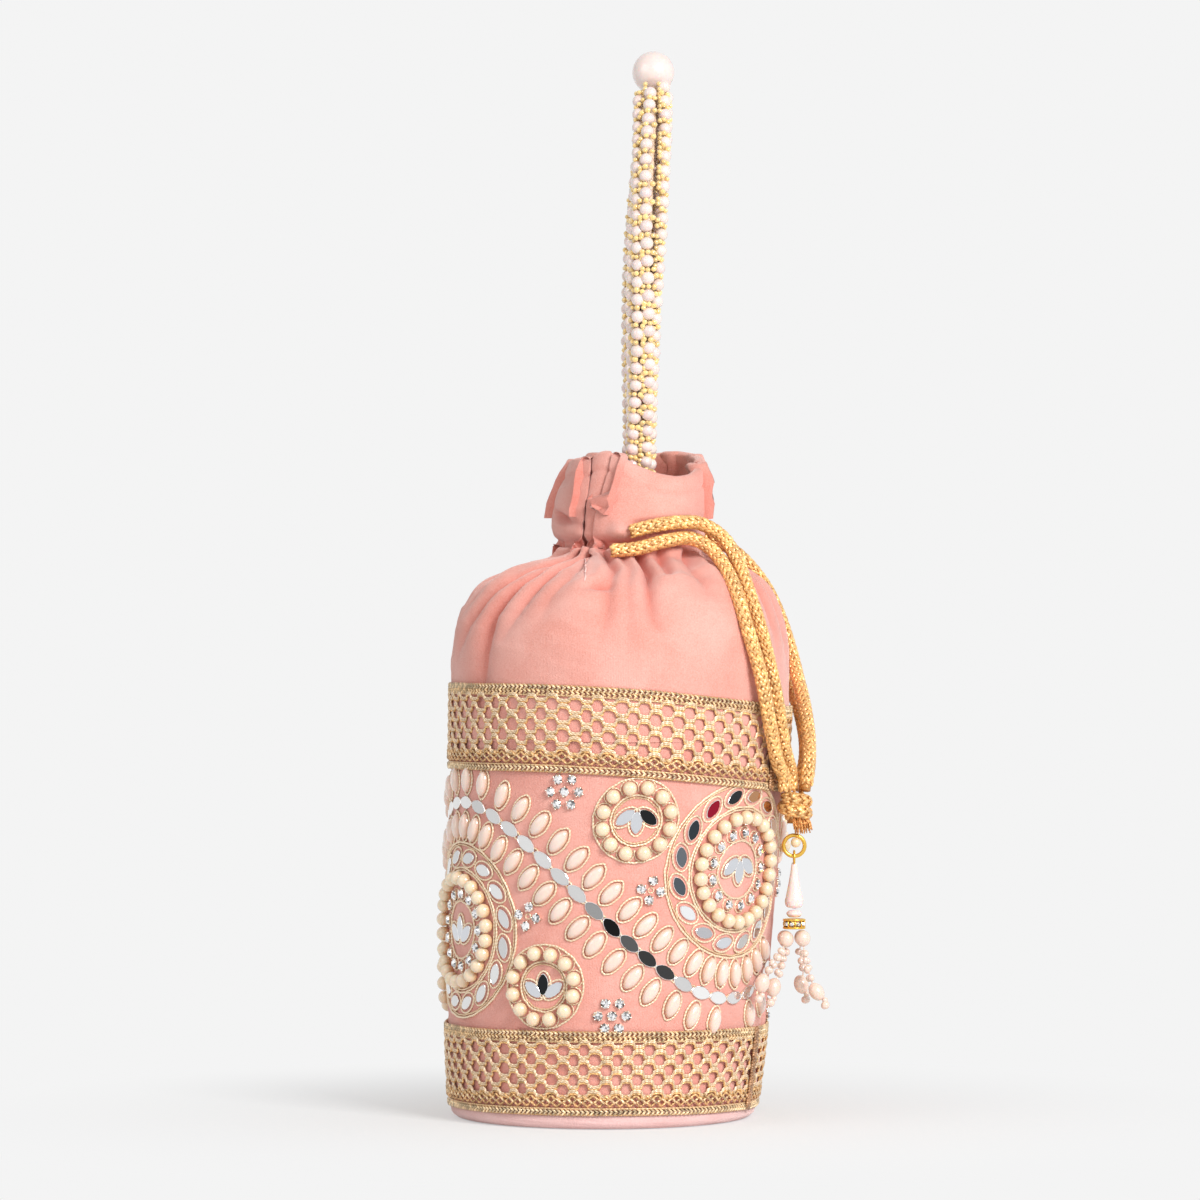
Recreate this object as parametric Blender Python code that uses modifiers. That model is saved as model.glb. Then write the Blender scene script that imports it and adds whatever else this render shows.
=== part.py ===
"""Potli bag: a velvet drawstring pouch on a stiff oval base, with two woven lace bands, a panel of
stitched pearls and mirrors, a gathered neck with two drawcords, a beaded loop handle and a tassel.

Metres, +Z up. The origin is on the floor, under the middle of the bag. -Y is the front.
"""

import math

import bmesh
import bpy
import numpy as np
from mathutils import Matrix, Vector

MM = 0.001
GAP = 0.3 * MM
TURN = 2.0 * math.pi

# The bag's outer velvet surface, from the floor up the wall: height, middle in X, half width.
WALL_PROFILE = [
    (0.0 * MM, -4.3 * MM, 42.0 * MM),
    (22.0 * MM, -3.4 * MM, 44.0 * MM),
    (60.0 * MM, -2.0 * MM, 45.6 * MM),
    (95.0 * MM, 0.0 * MM, 46.6 * MM),
    (125.0 * MM, 1.0 * MM, 47.2 * MM),
]
WALL_DEPTH_RATIO = 1.1
PANEL_TOP = 106.0 * MM

# The gathered top: height, middle in X, half width, depth ratio and depth of the pleats.
NECK_PLEAT = 3.2 * MM
RUFFLE_PLEAT = 3.4 * MM
TOP_PROFILE = [
    (PANEL_TOP + GAP, 0.4 * MM, 46.9 * MM, 1.10, 0.0 * MM),
    (118.0 * MM, 0.8 * MM, 47.3 * MM, 1.10, 0.0 * MM),
    (131.0 * MM, 1.0 * MM, 47.4 * MM, 1.10, 1.0 * MM),
    (140.0 * MM, 1.0 * MM, 45.6 * MM, 1.10, 1.9 * MM),
    (147.5 * MM, 1.2 * MM, 41.6 * MM, 1.11, 2.6 * MM),
    (151.2 * MM, 2.0 * MM, 35.4 * MM, 1.13, 3.0 * MM),
    (153.6 * MM, 3.0 * MM, 28.0 * MM, 1.18, NECK_PLEAT),
    (156.4 * MM, 3.6 * MM, 22.4 * MM, 1.25, NECK_PLEAT),
    (163.5 * MM, 3.8 * MM, 21.4 * MM, 1.27, NECK_PLEAT),
    (172.0 * MM, 3.8 * MM, 22.4 * MM, 1.22, RUFFLE_PLEAT),
    (180.0 * MM, 4.2 * MM, 22.2 * MM, 1.20, RUFFLE_PLEAT),
    (187.0 * MM, 5.0 * MM, 21.0 * MM, 1.20, RUFFLE_PLEAT),
]
PLEATS = 10
COLUMNS_PER_PLEAT = 5

VELVET = 1.2 * MM
TOP_CLOTH = 1.2 * MM
STIFFENER = 0.8 * MM
LINING = 0.5 * MM
LACE = 0.6 * MM
BOARD = 2.0 * MM
WALL_COLUMNS = 48
INNER_COLUMNS = 32

COVER_TOP = 4.7 * MM
COVER_ROUNDING = 0.8 * MM
PANEL_BOTTOM = COVER_TOP + GAP
PANEL_ROWS = 3
STIFFENER_TOP = 117.0 * MM
LINING_MIDDLE = 60.0 * MM
LINING_SHOULDER = 131.0 * MM
LINING_TOP = 140.0 * MM

# Each lace band: middle height, height, and the slope that the leaning bag gives it.
UPPER_LACE = (107.0 * MM, 24.5 * MM, -0.06)
LOWER_LACE = (14.0 * MM, 20.8 * MM, -0.02)
LACE_SCALLOPS = 47
LACE_RINGS = 6
LACE_RELIEF = 0.55 * MM
LACE_HOLLOW = 0.15 * LACE_RELIEF

# The embroidered pattern is laid out flat. Across, 1 radian round the bag is PATTERN_RADIUS.
PATTERN_RADIUS = 45.6 * MM
PATTERN_MIDDLE = 61.5 * MM
PATTERN_SEAM = math.radians(79.5)
FIRST_CREST = math.radians(-64.5)
HALF_WAVE = math.radians(112.7)
WAVE_HEIGHT = 26.7 * MM
PEARL = 4.0 * MM
PEARL_HEIGHT = 1.9 * MM
NAVETTE = (7.0 * MM, 3.5 * MM)
NAVETTE_HEIGHT = 1.5 * MM
PEARL_SIDES = 5
LONG_SIDES = 4
NAVETTE_OFFSET = 6.5 * MM
MIRROR = (6.4 * MM, 3.1 * MM)
MIRROR_HEIGHT = 0.7 * MM
MIRROR_PITCH = 6.7 * MM
LARGE_MEDALLION_DROP = 8.6 * MM
LARGE_LEAVES = (16, 20.3 * MM)
LARGE_PEARLS = (20, 14.6 * MM)
SMALL_MEDALLION_PLACE = (math.radians(41.5), 22.7 * MM)
SMALL_PEARLS = (12, 9.2 * MM)
STONE_SINK = 0.5 * MM
STONE_EDGE_MARGIN = 4.0 * MM
STONE_LACE_MARGIN = 2.6 * MM

CORD = 4.0 * MM
CORD_RADIUS = CORD / 2.0
CHANNEL_HEIGHTS = (157.2 * MM, 161.8 * MM)
CHANNEL_STRIP = (154.6 * MM, 164.8 * MM)
CHANNEL_STRIP_CLOTH = 0.5 * MM
CHANNEL_COLUMNS = 20
# Where the cords leave the channel, in X and Z, at the front and again at the back.
CORD_HOLES = [(-2.4 * MM, 157.6 * MM), (3.0 * MM, 162.6 * MM)]
CORD_HOLE_RADIUS = 2.5 * MM
CORD_HOLE_LENGTH = 14.0 * MM
NECK_HALF_DEPTH = 28.0 * MM
CORD_STEP = 2.2 * CORD

ROPE_RADIUS = 5.0 * MM
ROPE_WAIST = 4.4 * MM
PEARL_PITCH = 4.6 * MM
TOP_PEARL_RADIUS = 5.9 * MM
TOP_PEARL_CENTRE = Vector((9.9 * MM, 0.0, 291.7 * MM))
# The front leg of the handle, from its foot to the top pearl. The back leg mirrors it in Y.
HANDLE_ROUTE = [
    (5.9 * MM, -13.2 * MM, 171.0 * MM),
    (5.9 * MM, -13.3 * MM, 177.0 * MM),
    (6.1 * MM, -14.8 * MM, 186.0 * MM),
    (6.9 * MM, -21.6 * MM, 210.0 * MM),
    (7.6 * MM, -24.6 * MM, 235.0 * MM),
    (8.6 * MM, -20.0 * MM, 260.0 * MM),
    (9.5 * MM, -11.4 * MM, 275.0 * MM),
    (9.8 * MM, -6.8 * MM, 282.6 * MM),
    (9.9 * MM, -5.3 * MM, 286.9 * MM),
]
HANDLE_FOOT = (10.0 * MM, 11.4 * MM, 2.0 * MM)
HANDLE_FOOT_SHIFT = 1.8 * MM
# Each leg ends in a stem of thread: the share of the rope's width at its first two points.
HANDLE_TIP = (0.18, 0.75)

RING_CENTRE = Vector((48.7 * MM, -18.6 * MM, 76.0 * MM))
RING_RADIUS = 2.9 * MM
RING_WIRE = 0.6 * MM
EYE_RADIUS = 1.8 * MM
EYE_WIRE = 0.4 * MM
EYE_STEPS = 10
EYE_SHIFT = 0.3 * MM

# The turned pieces below the cords, each as radius and height down its outer side.
KNOT_PLACE = Vector((48.9 * MM, -18.6 * MM, 0.0))
KNOT_PROFILE = [
    (0.0, 90.2 * MM),
    (4.6 * MM, 90.2 * MM),
    (5.6 * MM, 87.4 * MM),
    (5.0 * MM, 83.6 * MM),
    (3.2 * MM, 81.2 * MM),
    (0.0, 80.8 * MM),
]
DROP_PROFILE = [
    (0.0, 71.4 * MM),
    (0.7 * MM, 71.2 * MM),
    (1.0 * MM, 69.0 * MM),
    (1.6 * MM, 65.5 * MM),
    (2.3 * MM, 62.2 * MM),
    (2.5 * MM, 60.6 * MM),
    (2.0 * MM, 59.0 * MM),
    (0.0, 58.6 * MM),
]
SPACER_PROFILE = [
    (0.0, 58.3 * MM),
    (1.8 * MM, 58.0 * MM),
    (2.2 * MM, 57.2 * MM),
    (1.8 * MM, 56.4 * MM),
    (0.0, 56.2 * MM),
]
RONDELLE_PROFILE = [
    (0.0, 55.9 * MM),
    (2.9 * MM, 55.9 * MM),
    (3.2 * MM, 54.4 * MM),
    (2.9 * MM, 52.9 * MM),
    (0.0, 52.9 * MM),
]


def named_material(name, colour, roughness, metallic=0.0):
    material = bpy.data.materials.new(name)
    material.use_nodes = True
    shader = material.node_tree.nodes["Principled BSDF"]
    shader.inputs["Base Color"].default_value = (*colour, 1.0)
    shader.inputs["Roughness"].default_value = roughness
    shader.inputs["Metallic"].default_value = metallic
    material.diffuse_color = (*colour, 1.0)
    return material


def smooth_rows(rows, steps):
    """Rows of numbers with steps - 1 more rows between each two, on a Catmull-Rom curve."""
    points = np.array(rows)
    padded = np.vstack([2 * points[0] - points[1], points, 2 * points[-1] - points[-2]])
    out = []
    for i in range(len(points) - 1):
        a, b, c, d = padded[i : i + 4]
        for step in range(steps):
            t = step / steps
            out.append(
                0.5
                * (
                    2 * b
                    + (c - a) * t
                    + (2 * a - 5 * b + 4 * c - d) * t * t
                    + (3 * b - a - 3 * c + d) * t**3
                )
            )
    out.append(points[-1])
    return np.array(out)


FINE_WALL = smooth_rows(WALL_PROFILE, 12)


def wall_point(angle, height, outwards=0.0):
    """A point of the bag's wall. The angle is 0 at the front and grows towards +X."""
    middle = np.interp(height, FINE_WALL[:, 0], FINE_WALL[:, 1])
    half_width = np.interp(height, FINE_WALL[:, 0], FINE_WALL[:, 2])
    half_depth = half_width * WALL_DEPTH_RATIO
    normal = Vector((half_depth * math.sin(angle), -half_width * math.cos(angle), 0.0)).normalized()
    on_wall = Vector((middle + half_width * math.sin(angle), -half_depth * math.cos(angle), height))
    return on_wall + normal * outwards


def new_object(name, mesh, material, smooth=True):
    mesh.materials.clear()
    mesh.materials.append(material)
    if smooth:
        mesh.shade_smooth()
        mesh.set_sharp_from_angle(angle=math.radians(35.0))
    made = bpy.data.objects.new(name, mesh)
    bag.objects.link(made)
    return made


def mesh_from(work, name):
    bmesh.ops.recalc_face_normals(work, faces=work.faces)
    mesh = bpy.data.meshes.new(name)
    work.to_mesh(mesh)
    work.free()
    return mesh


def loft(name, rings, material, closed_across=False, caps=False, smooth=True):
    """Joins rings of points with equal counts. Ends are capped, joined to each other or left open."""
    work = bmesh.new()
    made = [[work.verts.new(point) for point in ring] for ring in rings]
    pairs = list(zip(made, made[1:]))
    if closed_across:
        pairs.append((made[-1], made[0]))
    for lower, upper in pairs:
        count = len(lower)
        for i in range(count):
            j = (i + 1) % count
            work.faces.new((lower[i], lower[j], upper[j], upper[i]))
    if caps:
        work.faces.new(made[0])
        work.faces.new(made[-1])
    return new_object(name, mesh_from(work, name), material, smooth)


def wall_ring(columns, height, outwards, slope=0.0, shift=0.0):
    ring = []
    for i in range(columns):
        angle = TURN * (i + shift) / columns
        level = height + slope * wall_point(angle, height).x
        ring.append(wall_point(angle, level, outwards))
    return ring


def solidify(thing, thickness):
    """Gives a surface its thickness on its inner side."""
    shell = thing.modifiers.new("thickness", "SOLIDIFY")
    shell.thickness = thickness
    shell.offset = -1.0


def curve_tube(name, points, radius, material, radii=None, cyclic=False, sides=2):
    """A tube along the points: sides is the bevel resolution, 1 for six sides and 2 for eight."""
    curve = bpy.data.curves.new(name, "CURVE")
    curve.dimensions = "3D"
    curve.bevel_depth = radius
    curve.bevel_resolution = sides
    curve.render_resolution_u = 0
    curve.use_fill_caps = not cyclic
    line = curve.splines.new("POLY")
    line.points.add(len(points) - 1)
    for i, point in enumerate(points):
        line.points[i].co = (*point, 1.0)
        line.points[i].radius = 1.0 if radii is None else radii[i]
    line.use_cyclic_u = cyclic
    curve.materials.append(material)
    made = bpy.data.objects.new(name, curve)
    bag.objects.link(made)
    return made


def evenly_spaced(route, spacing):
    """Points about this far apart on a smooth curve through the route's points."""
    fine = smooth_rows(route, 24)
    along = np.concatenate([[0.0], np.cumsum(np.linalg.norm(np.diff(fine, axis=0), axis=1))])
    count = max(2, round(along[-1] / spacing))
    wanted = np.linspace(0.0, along[-1], count + 1)
    return [Vector(np.interp(wanted, along, fine[:, k])[i] for k in range(3)) for i in range(count + 1)]


def turned(name, profile, material, segments=10, place=(0.0, 0.0, 0.0)):
    """A turned piece. The profile holds radius and height, from the top down its outer side."""
    work = bmesh.new()
    points = [work.verts.new((radius, 0.0, height)) for radius, height in profile]
    for upper, lower in zip(points, points[1:]):
        work.edges.new((upper, lower))
    mesh = bpy.data.meshes.new(name)
    work.to_mesh(mesh)
    work.free()
    made = new_object(name, mesh, material, smooth=False)
    made.location = place
    turn = made.modifiers.new("turn", "SCREW")
    turn.steps = segments
    turn.render_steps = segments
    turn.use_merge_vertices = True
    turn.merge_threshold = 0.01 * MM
    turn.use_smooth_shade = True
    return made


def ball(name, centre, radius, material, stretch=1.0, along=(0.0, 0.0, 1.0), columns=8, rows=6):
    work = bmesh.new()
    bmesh.ops.create_uvsphere(work, u_segments=columns, v_segments=rows, radius=radius)
    lengthen = Matrix.Diagonal((1.0, 1.0, stretch, 1.0))
    turn = Vector((0.0, 0.0, 1.0)).rotation_difference(Vector(along).normalized()).to_matrix().to_4x4()
    bmesh.ops.transform(work, matrix=turn @ lengthen, verts=work.verts)
    made = new_object(name, mesh_from(work, name), material)
    made.location = centre
    return made


def applied(thing, name):
    """The object's mesh with its modifiers in place, as a new mesh."""
    graph = bpy.context.evaluated_depsgraph_get()
    mesh = bpy.data.meshes.new_from_object(thing.evaluated_get(graph))
    mesh.name = name
    return mesh


def cut_with(thing, tool, operation):
    """Cuts the object with another solid, or unites it, and hides the tool among the cutters."""
    for collection in list(tool.users_collection):
        collection.objects.unlink(tool)
    cutters.objects.link(tool)
    tool.hide_render = True
    tool.display_type = "WIRE"
    change = thing.modifiers.new(tool.name, "BOOLEAN")
    change.operation = operation
    change.solver = "EXACT"
    change.object = tool


for thing in list(bpy.data.objects):
    bpy.data.objects.remove(thing, do_unlink=True)

bag = bpy.data.collections.new("potli_bag")
bpy.context.scene.collection.children.link(bag)
cutters = bpy.data.collections.new("cutters")
bpy.context.scene.collection.children.link(cutters)

velvet = named_material("blush_velvet", (0.83, 0.45, 0.40), 0.9)
base_velvet = named_material("pale_velvet", (0.88, 0.57, 0.57), 0.9)
card = named_material("grey_board", (0.45, 0.42, 0.38), 0.85)
buckram = named_material("buckram", (0.85, 0.82, 0.75), 0.9)
satin = named_material("pink_satin", (0.85, 0.55, 0.52), 0.45)
lace = named_material("gold_lace", (0.62, 0.42, 0.22), 0.45, 0.35)
cord_gold = named_material("gold_cord", (0.85, 0.50, 0.18), 0.5, 0.2)
pearl = named_material("pearl", (0.88, 0.80, 0.76), 0.25)
gold = named_material("gold_metal", (0.85, 0.55, 0.15), 0.25, 1.0)


# The base: a rounded velvet cover, with a stiff board lying in it.
def make_base():
    def oval(height, outwards):
        return wall_ring(WALL_COLUMNS, height, outwards)

    outer = [
        oval(0.0, -COVER_ROUNDING),
        oval(COVER_ROUNDING, 0.0),
        oval(COVER_TOP, 0.0),
    ]
    inner = [oval(COVER_TOP, -VELVET), oval(VELVET, -VELVET)]
    loft("base_cover", outer + inner, base_velvet, caps=True, smooth=False)
    board_bottom = VELVET + GAP
    board_edge = -VELVET - GAP
    rings = [oval(board_bottom, board_edge), oval(board_bottom + BOARD, board_edge)]
    loft("base_board", rings, card, caps=True, smooth=False)


# The stiff wall of buckram inside the velvet, from the board up to the shoulder.
def make_stiffener():
    heights = np.linspace(VELVET + BOARD + 2 * GAP, STIFFENER_TOP, 4)
    outer = [wall_ring(INNER_COLUMNS, height, -VELVET - GAP) for height in heights]
    inner = [wall_ring(INNER_COLUMNS, height, -VELVET - GAP - STIFFENER) for height in heights[::-1]]
    loft("body_stiffener", outer + inner, buckram, closed_across=True)


def wave_point(angle):
    """The garland's height over the pattern's middle, and its slope, at an angle round the bag."""
    phase = math.pi * (angle - FIRST_CREST) / HALF_WAVE
    slope = -WAVE_HEIGHT * math.sin(phase) * math.pi / (HALF_WAVE * PATTERN_RADIUS)
    return WAVE_HEIGHT * math.cos(phase), slope


def garland_stones():
    """Mirrors end to end along the wave, with a row of long pearls on each side of it."""
    stones = []
    across = (PATTERN_SEAM - TURN) * PATTERN_RADIUS
    while across < PATTERN_SEAM * PATTERN_RADIUS:
        height, slope = wave_point(across / PATTERN_RADIUS)
        lean = math.atan(slope)
        stones.append(("mirror", across, height, lean))
        for side in (-1.0, 1.0):
            stones.append(
                (
                    "navette",
                    across - side * NAVETTE_OFFSET * math.sin(lean),
                    height + side * NAVETTE_OFFSET * math.cos(lean),
                    lean + math.radians(90.0),
                )
            )
        across += MIRROR_PITCH * math.cos(lean)
    return stones


def ring_of_stones(kind, count, radius, across, height):
    stones = []
    for i in range(count):
        turn = TURN * (i + 0.5) / count
        stones.append((kind, across + radius * math.sin(turn), height + radius * math.cos(turn), -turn))
    return stones


def medallion_stones():
    """A large medallion in each hollow of the wave, and a small one on each side of it."""
    stones = []
    for number in range(-2, 3):
        angle = FIRST_CREST + number * HALF_WAVE
        below = -1.0 if number % 2 == 0 else 1.0
        across = angle * PATTERN_RADIUS
        level = below * LARGE_MEDALLION_DROP
        stones += ring_of_stones("mirror", *LARGE_LEAVES, across, level)
        stones += ring_of_stones("pearl", *LARGE_PEARLS, across, level)
        aside, drop = SMALL_MEDALLION_PLACE
        for side in (-1.0, 1.0):
            centre = (angle + side * aside) * PATTERN_RADIUS
            stones += ring_of_stones("pearl", *SMALL_PEARLS, centre, below * drop)
    return stones


def stone_mesh(work, kind, across, height, lean):
    """One stone on the flat pattern, lying across in X and up in Y, and standing up in Z."""
    if kind == "mirror":
        length, width = MIRROR
        top, sides = MIRROR_HEIGHT, LONG_SIDES
    elif kind == "navette":
        length, width = NAVETTE
        top, sides = NAVETTE_HEIGHT, LONG_SIDES
    else:
        length, width = PEARL, PEARL
        top, sides = PEARL_HEIGHT, PEARL_SIDES
    made = bmesh.ops.create_cone(
        work,
        cap_ends=True,
        segments=sides,
        radius1=0.5,
        radius2=0.0,
        depth=1.0,
    )["verts"]
    depth = top + STONE_SINK
    place = (
        Matrix.Translation((across, PATTERN_MIDDLE + height, top - depth / 2.0))
        @ Matrix.Rotation(lean, 4, "Z")
        @ Matrix.Diagonal((length, width, depth, 1.0))
        @ Matrix.Rotation(math.radians(90.0), 4, "Z")
    )
    bmesh.ops.transform(work, matrix=place, verts=made)


def between_lace(across, height):
    """Whether a stone at this place of the pattern is clear of both lace bands."""
    x = wall_point(across / PATTERN_RADIUS, PATTERN_MIDDLE + height).x
    low, high = (
        middle + side * band_height / 2.0 + slope * x
        for side, (middle, band_height, slope) in ((1.0, LOWER_LACE), (-1.0, UPPER_LACE))
    )
    return low + STONE_LACE_MARGIN < PATTERN_MIDDLE + height < high - STONE_LACE_MARGIN


# The embroidered sleeve: worked flat, with every stone on it, then sewn into a tube at the side.
def make_panel():
    left = (PATTERN_SEAM - TURN) * PATTERN_RADIUS
    right = PATTERN_SEAM * PATTERN_RADIUS - 2 * GAP
    work = bmesh.new()
    bmesh.ops.create_grid(work, x_segments=WALL_COLUMNS, y_segments=PANEL_ROWS, size=0.5)
    size = Matrix.Diagonal((right - left, PANEL_TOP - PANEL_BOTTOM, 1.0, 1.0))
    centre = Matrix.Translation(((left + right) / 2.0, (PANEL_BOTTOM + PANEL_TOP) / 2.0, 0.0))
    bmesh.ops.transform(work, matrix=centre @ size, verts=work.verts)
    flat = new_object("embroidered_panel", mesh_from(work, "flat_panel"), velvet, smooth=False)
    solidify(flat, VELVET)

    work = bmesh.new()
    for kind, across, height, lean in garland_stones() + medallion_stones():
        inside = left + STONE_EDGE_MARGIN < across < right - STONE_EDGE_MARGIN
        if inside and between_lace(across, height):
            stone_mesh(work, kind, across, height, lean)
    cut_with(flat, bpy.data.objects.new("stones", mesh_from(work, "stones")), "UNION")

    mesh = applied(flat, "embroidered_panel")
    for vertex in mesh.vertices:
        across, height, outwards = vertex.co
        vertex.co = wall_point(across / PATTERN_RADIUS, height, outwards)
    flat.modifiers.clear()
    flat.data = mesh


# A woven lace band: five ridges of scallops, each half a scallop round from the next.
def make_lace(name, band):
    middle, height, slope = band
    outer = []
    for ring in range(LACE_RINGS):
        level = middle + height * (ring / (LACE_RINGS - 1) - 0.5)
        edge = ring in (0, LACE_RINGS - 1)
        raised = LACE_RELIEF if edge or ring % 2 else LACE_HOLLOW
        shift = 0.5 * (ring % 2)
        outer.append(wall_ring(LACE_SCALLOPS, level, GAP + LACE + raised, slope, shift))
    levels = (middle + height / 2.0, middle - height / 2.0)
    shifts = (0.5 * ((LACE_RINGS - 1) % 2), 0.0)
    inner = [wall_ring(LACE_SCALLOPS, level, 1.5 * GAP, slope, shift) for level, shift in zip(levels, shifts)]
    loft(name, outer + inner, lace, closed_across=True, smooth=False)


def top_row(height):
    """The gathered cloth's middle, half width, depth ratio and pleat depth at a height."""
    rows = smooth_rows(TOP_PROFILE, 8)
    return [np.interp(height, rows[:, 0], rows[:, k]) for k in range(1, 5)]


def top_point(row, angle):
    """A point of the gathered cloth, on the outer side. Pleats fold in from the row's outline."""
    height, middle, half_width, ratio, pleat = row
    fold = 0.5 - 0.5 * math.cos(PLEATS * angle)
    inwards = pleat * fold
    return Vector(
        (
            middle + (half_width - inwards) * math.sin(angle),
            -(half_width * ratio - inwards) * math.cos(angle),
            height,
        )
    )


# The gathered top: one piece of velvet, drawn in at the neck and standing up as a ruffle.
def make_gathered_top():
    columns = PLEATS * COLUMNS_PER_PLEAT
    rings = [[top_point(row, TURN * i / columns) for i in range(columns)] for row in TOP_PROFILE]
    top = loft("gathered_top", rings, velvet)
    solidify(top, TOP_CLOTH)
    for side in (-1.0, 1.0):
        for across, height in CORD_HOLES:
            work = bmesh.new()
            turn = Matrix.Rotation(math.radians(90.0), 4, "X")
            bmesh.ops.create_cone(
                work,
                cap_ends=True,
                segments=10,
                radius1=CORD_HOLE_RADIUS,
                radius2=CORD_HOLE_RADIUS,
                depth=CORD_HOLE_LENGTH,
                matrix=turn,
            )
            hole = bpy.data.objects.new("cord_hole", mesh_from(work, "cord_hole"))
            hole.location = (across, side * NECK_HALF_DEPTH, height)
            cut_with(top, hole, "DIFFERENCE")


# The satin lining: a cup inside the stiff wall, sewn to the velvet at the shoulder.
def make_lining():
    inset = VELVET + STIFFENER + 2 * GAP
    floor = VELVET + BOARD + 2 * GAP
    heights = (floor, LINING_MIDDLE, STIFFENER_TOP)
    rings = [wall_ring(INNER_COLUMNS, height, -inset - GAP) for height in heights]
    for height in np.linspace(LINING_SHOULDER, LINING_TOP, 3):
        middle, half_width, ratio, pleat = top_row(height)
        inwards = pleat + TOP_CLOTH + 4 * GAP
        ring = []
        for i in range(INNER_COLUMNS):
            angle = TURN * i / INNER_COLUMNS
            x = middle + (half_width - inwards) * math.sin(angle)
            y = -(half_width * ratio - inwards) * math.cos(angle)
            ring.append(Vector((x, y, height)))
        rings.append(ring)
    work = bmesh.new()
    made = [[work.verts.new(point) for point in ring] for ring in rings]
    for lower, upper in zip(made, made[1:]):
        for i in range(INNER_COLUMNS):
            j = (i + 1) % INNER_COLUMNS
            work.faces.new((lower[i], lower[j], upper[j], upper[i]))
    work.faces.new(made[0][::-1])
    mesh = bpy.data.meshes.new("lining")
    work.to_mesh(mesh)
    work.free()
    solidify(new_object("lining", mesh, satin), LINING)


def neck_oval(inwards, height, columns):
    """An oval inside the neck's pleats, this far in from their outline."""
    middle, half_width, ratio, _ = top_row(height)
    ring = []
    for i in range(columns):
        angle = TURN * i / columns
        x = middle + (half_width - inwards) * math.sin(angle)
        y = -(half_width * ratio - inwards) * math.cos(angle)
        ring.append(Vector((x, y, height)))
    return ring


# The drawstring channel: a strip of cloth inside the neck, with the two cords running behind it.
def make_channel():
    cord_in = NECK_PLEAT + TOP_CLOTH + CORD_RADIUS
    for number, height in enumerate(CHANNEL_HEIGHTS):
        points = neck_oval(cord_in, CHANNEL_HEIGHTS[1], CHANNEL_COLUMNS)
        level = [Vector((point.x, point.y, height)) for point in points]
        curve_tube(f"channel_cord_{number + 1}", level, CORD_RADIUS, cord_gold, cyclic=True, sides=1)
    strip_in = cord_in + CORD_RADIUS + GAP
    low, high = CHANNEL_STRIP
    flat = neck_oval(strip_in, CHANNEL_HEIGHTS[1], CHANNEL_COLUMNS)
    rings = [[Vector((point.x, point.y, height)) for point in flat] for height in (low, high)]
    strip = loft("channel_strip", rings, satin)
    solidify(strip, CHANNEL_STRIP_CLOTH)


# The free ends of the drawcords, in millimetres, from the holes at the neck down to the knot.
STRAND_ROUTES = {
    "drawcord_front_left": [
        (-2.0, -31.2, 157.6),
        (5.4, -31.6, 158.2),
        (12.8, -29.4, 160.2),
        (19.8, -24.2, 161.0),
        (25.4, -25.0, 158.2),
        (29.2, -29.6, 153.2),
        (32.2, -35.8, 146.4),
        (35.4, -38.6, 135.8),
        (38.0, -37.6, 127.0),
        (39.8, -36.4, 119.4),
        (41.6, -33.4, 109.7),
        (43.6, -29.2, 100.0),
        (45.6, -24.0, 95.6),
        (46.0, -23.0, 91.4),
    ],
    "drawcord_front_right": [
        (3.2, -30.0, 162.8),
        (9.6, -29.4, 164.4),
        (16.4, -26.2, 165.4),
        (23.0, -22.4, 165.0),
        (29.2, -21.4, 161.0),
        (33.0, -26.4, 154.2),
        (35.6, -32.0, 146.8),
        (39.0, -34.4, 136.0),
        (41.8, -32.4, 125.0),
        (43.8, -30.6, 115.2),
        (45.6, -26.6, 104.0),
        (47.7, -19.8, 96.4),
        (48.0, -18.5, 91.5),
    ],
    "drawcord_back_left": [
        (-2.0, 31.2, 157.6),
        (5.4, 31.6, 158.6),
        (12.8, 30.2, 159.8),
        (19.6, 28.6, 159.4),
        (25.8, 28.2, 157.4),
        (31.6, 28.8, 153.8),
        (37.2, 29.4, 148.0),
        (41.6, 29.4, 140.4),
        (44.8, 27.0, 131.6),
        (47.8, 21.6, 122.4),
        (50.8, 12.6, 114.2),
        (52.2, 3.2, 107.4),
        (52.4, -4.8, 102.0),
        (51.6, -10.8, 97.0),
        (49.8, -14.1, 91.4),
    ],
    "drawcord_back_right": [
        (3.2, 30.0, 162.8),
        (10.4, 28.8, 164.8),
        (17.8, 25.8, 165.2),
        (24.6, 23.2, 163.2),
        (31.0, 22.2, 159.4),
        (36.8, 22.2, 154.4),
        (42.0, 22.2, 147.6),
        (45.8, 20.8, 139.6),
        (48.6, 16.8, 130.8),
        (50.6, 10.4, 122.4),
        (52.2, 1.4, 114.6),
        (53.0, -7.6, 107.4),
        (53.0, -14.4, 101.8),
        (52.6, -18.6, 97.0),
        (51.7, -20.9, 91.4),
    ],
}


def make_strands():
    for name, route in STRAND_ROUTES.items():
        metres = [tuple(value * MM for value in point) for point in route]
        points = evenly_spaced(metres, CORD_STEP)
        curve_tube(name, points, CORD_RADIUS, cord_gold)


def eye_of_wire(name, centre, material):
    """A small wire loop whose plane is across the ring's, so that the two link without touching."""
    points = []
    for i in range(EYE_STEPS):
        turn = TURN * i / EYE_STEPS
        points.append(centre + Vector((0.0, EYE_RADIUS * math.sin(turn), EYE_RADIUS * math.cos(turn))))
    loop = curve_tube(name, points, EYE_WIRE, material, cyclic=True, sides=1)
    mesh = applied(loop, name)
    bag.objects.unlink(loop)
    bpy.data.objects.remove(loop)
    return new_object(name, mesh, material)


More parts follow.
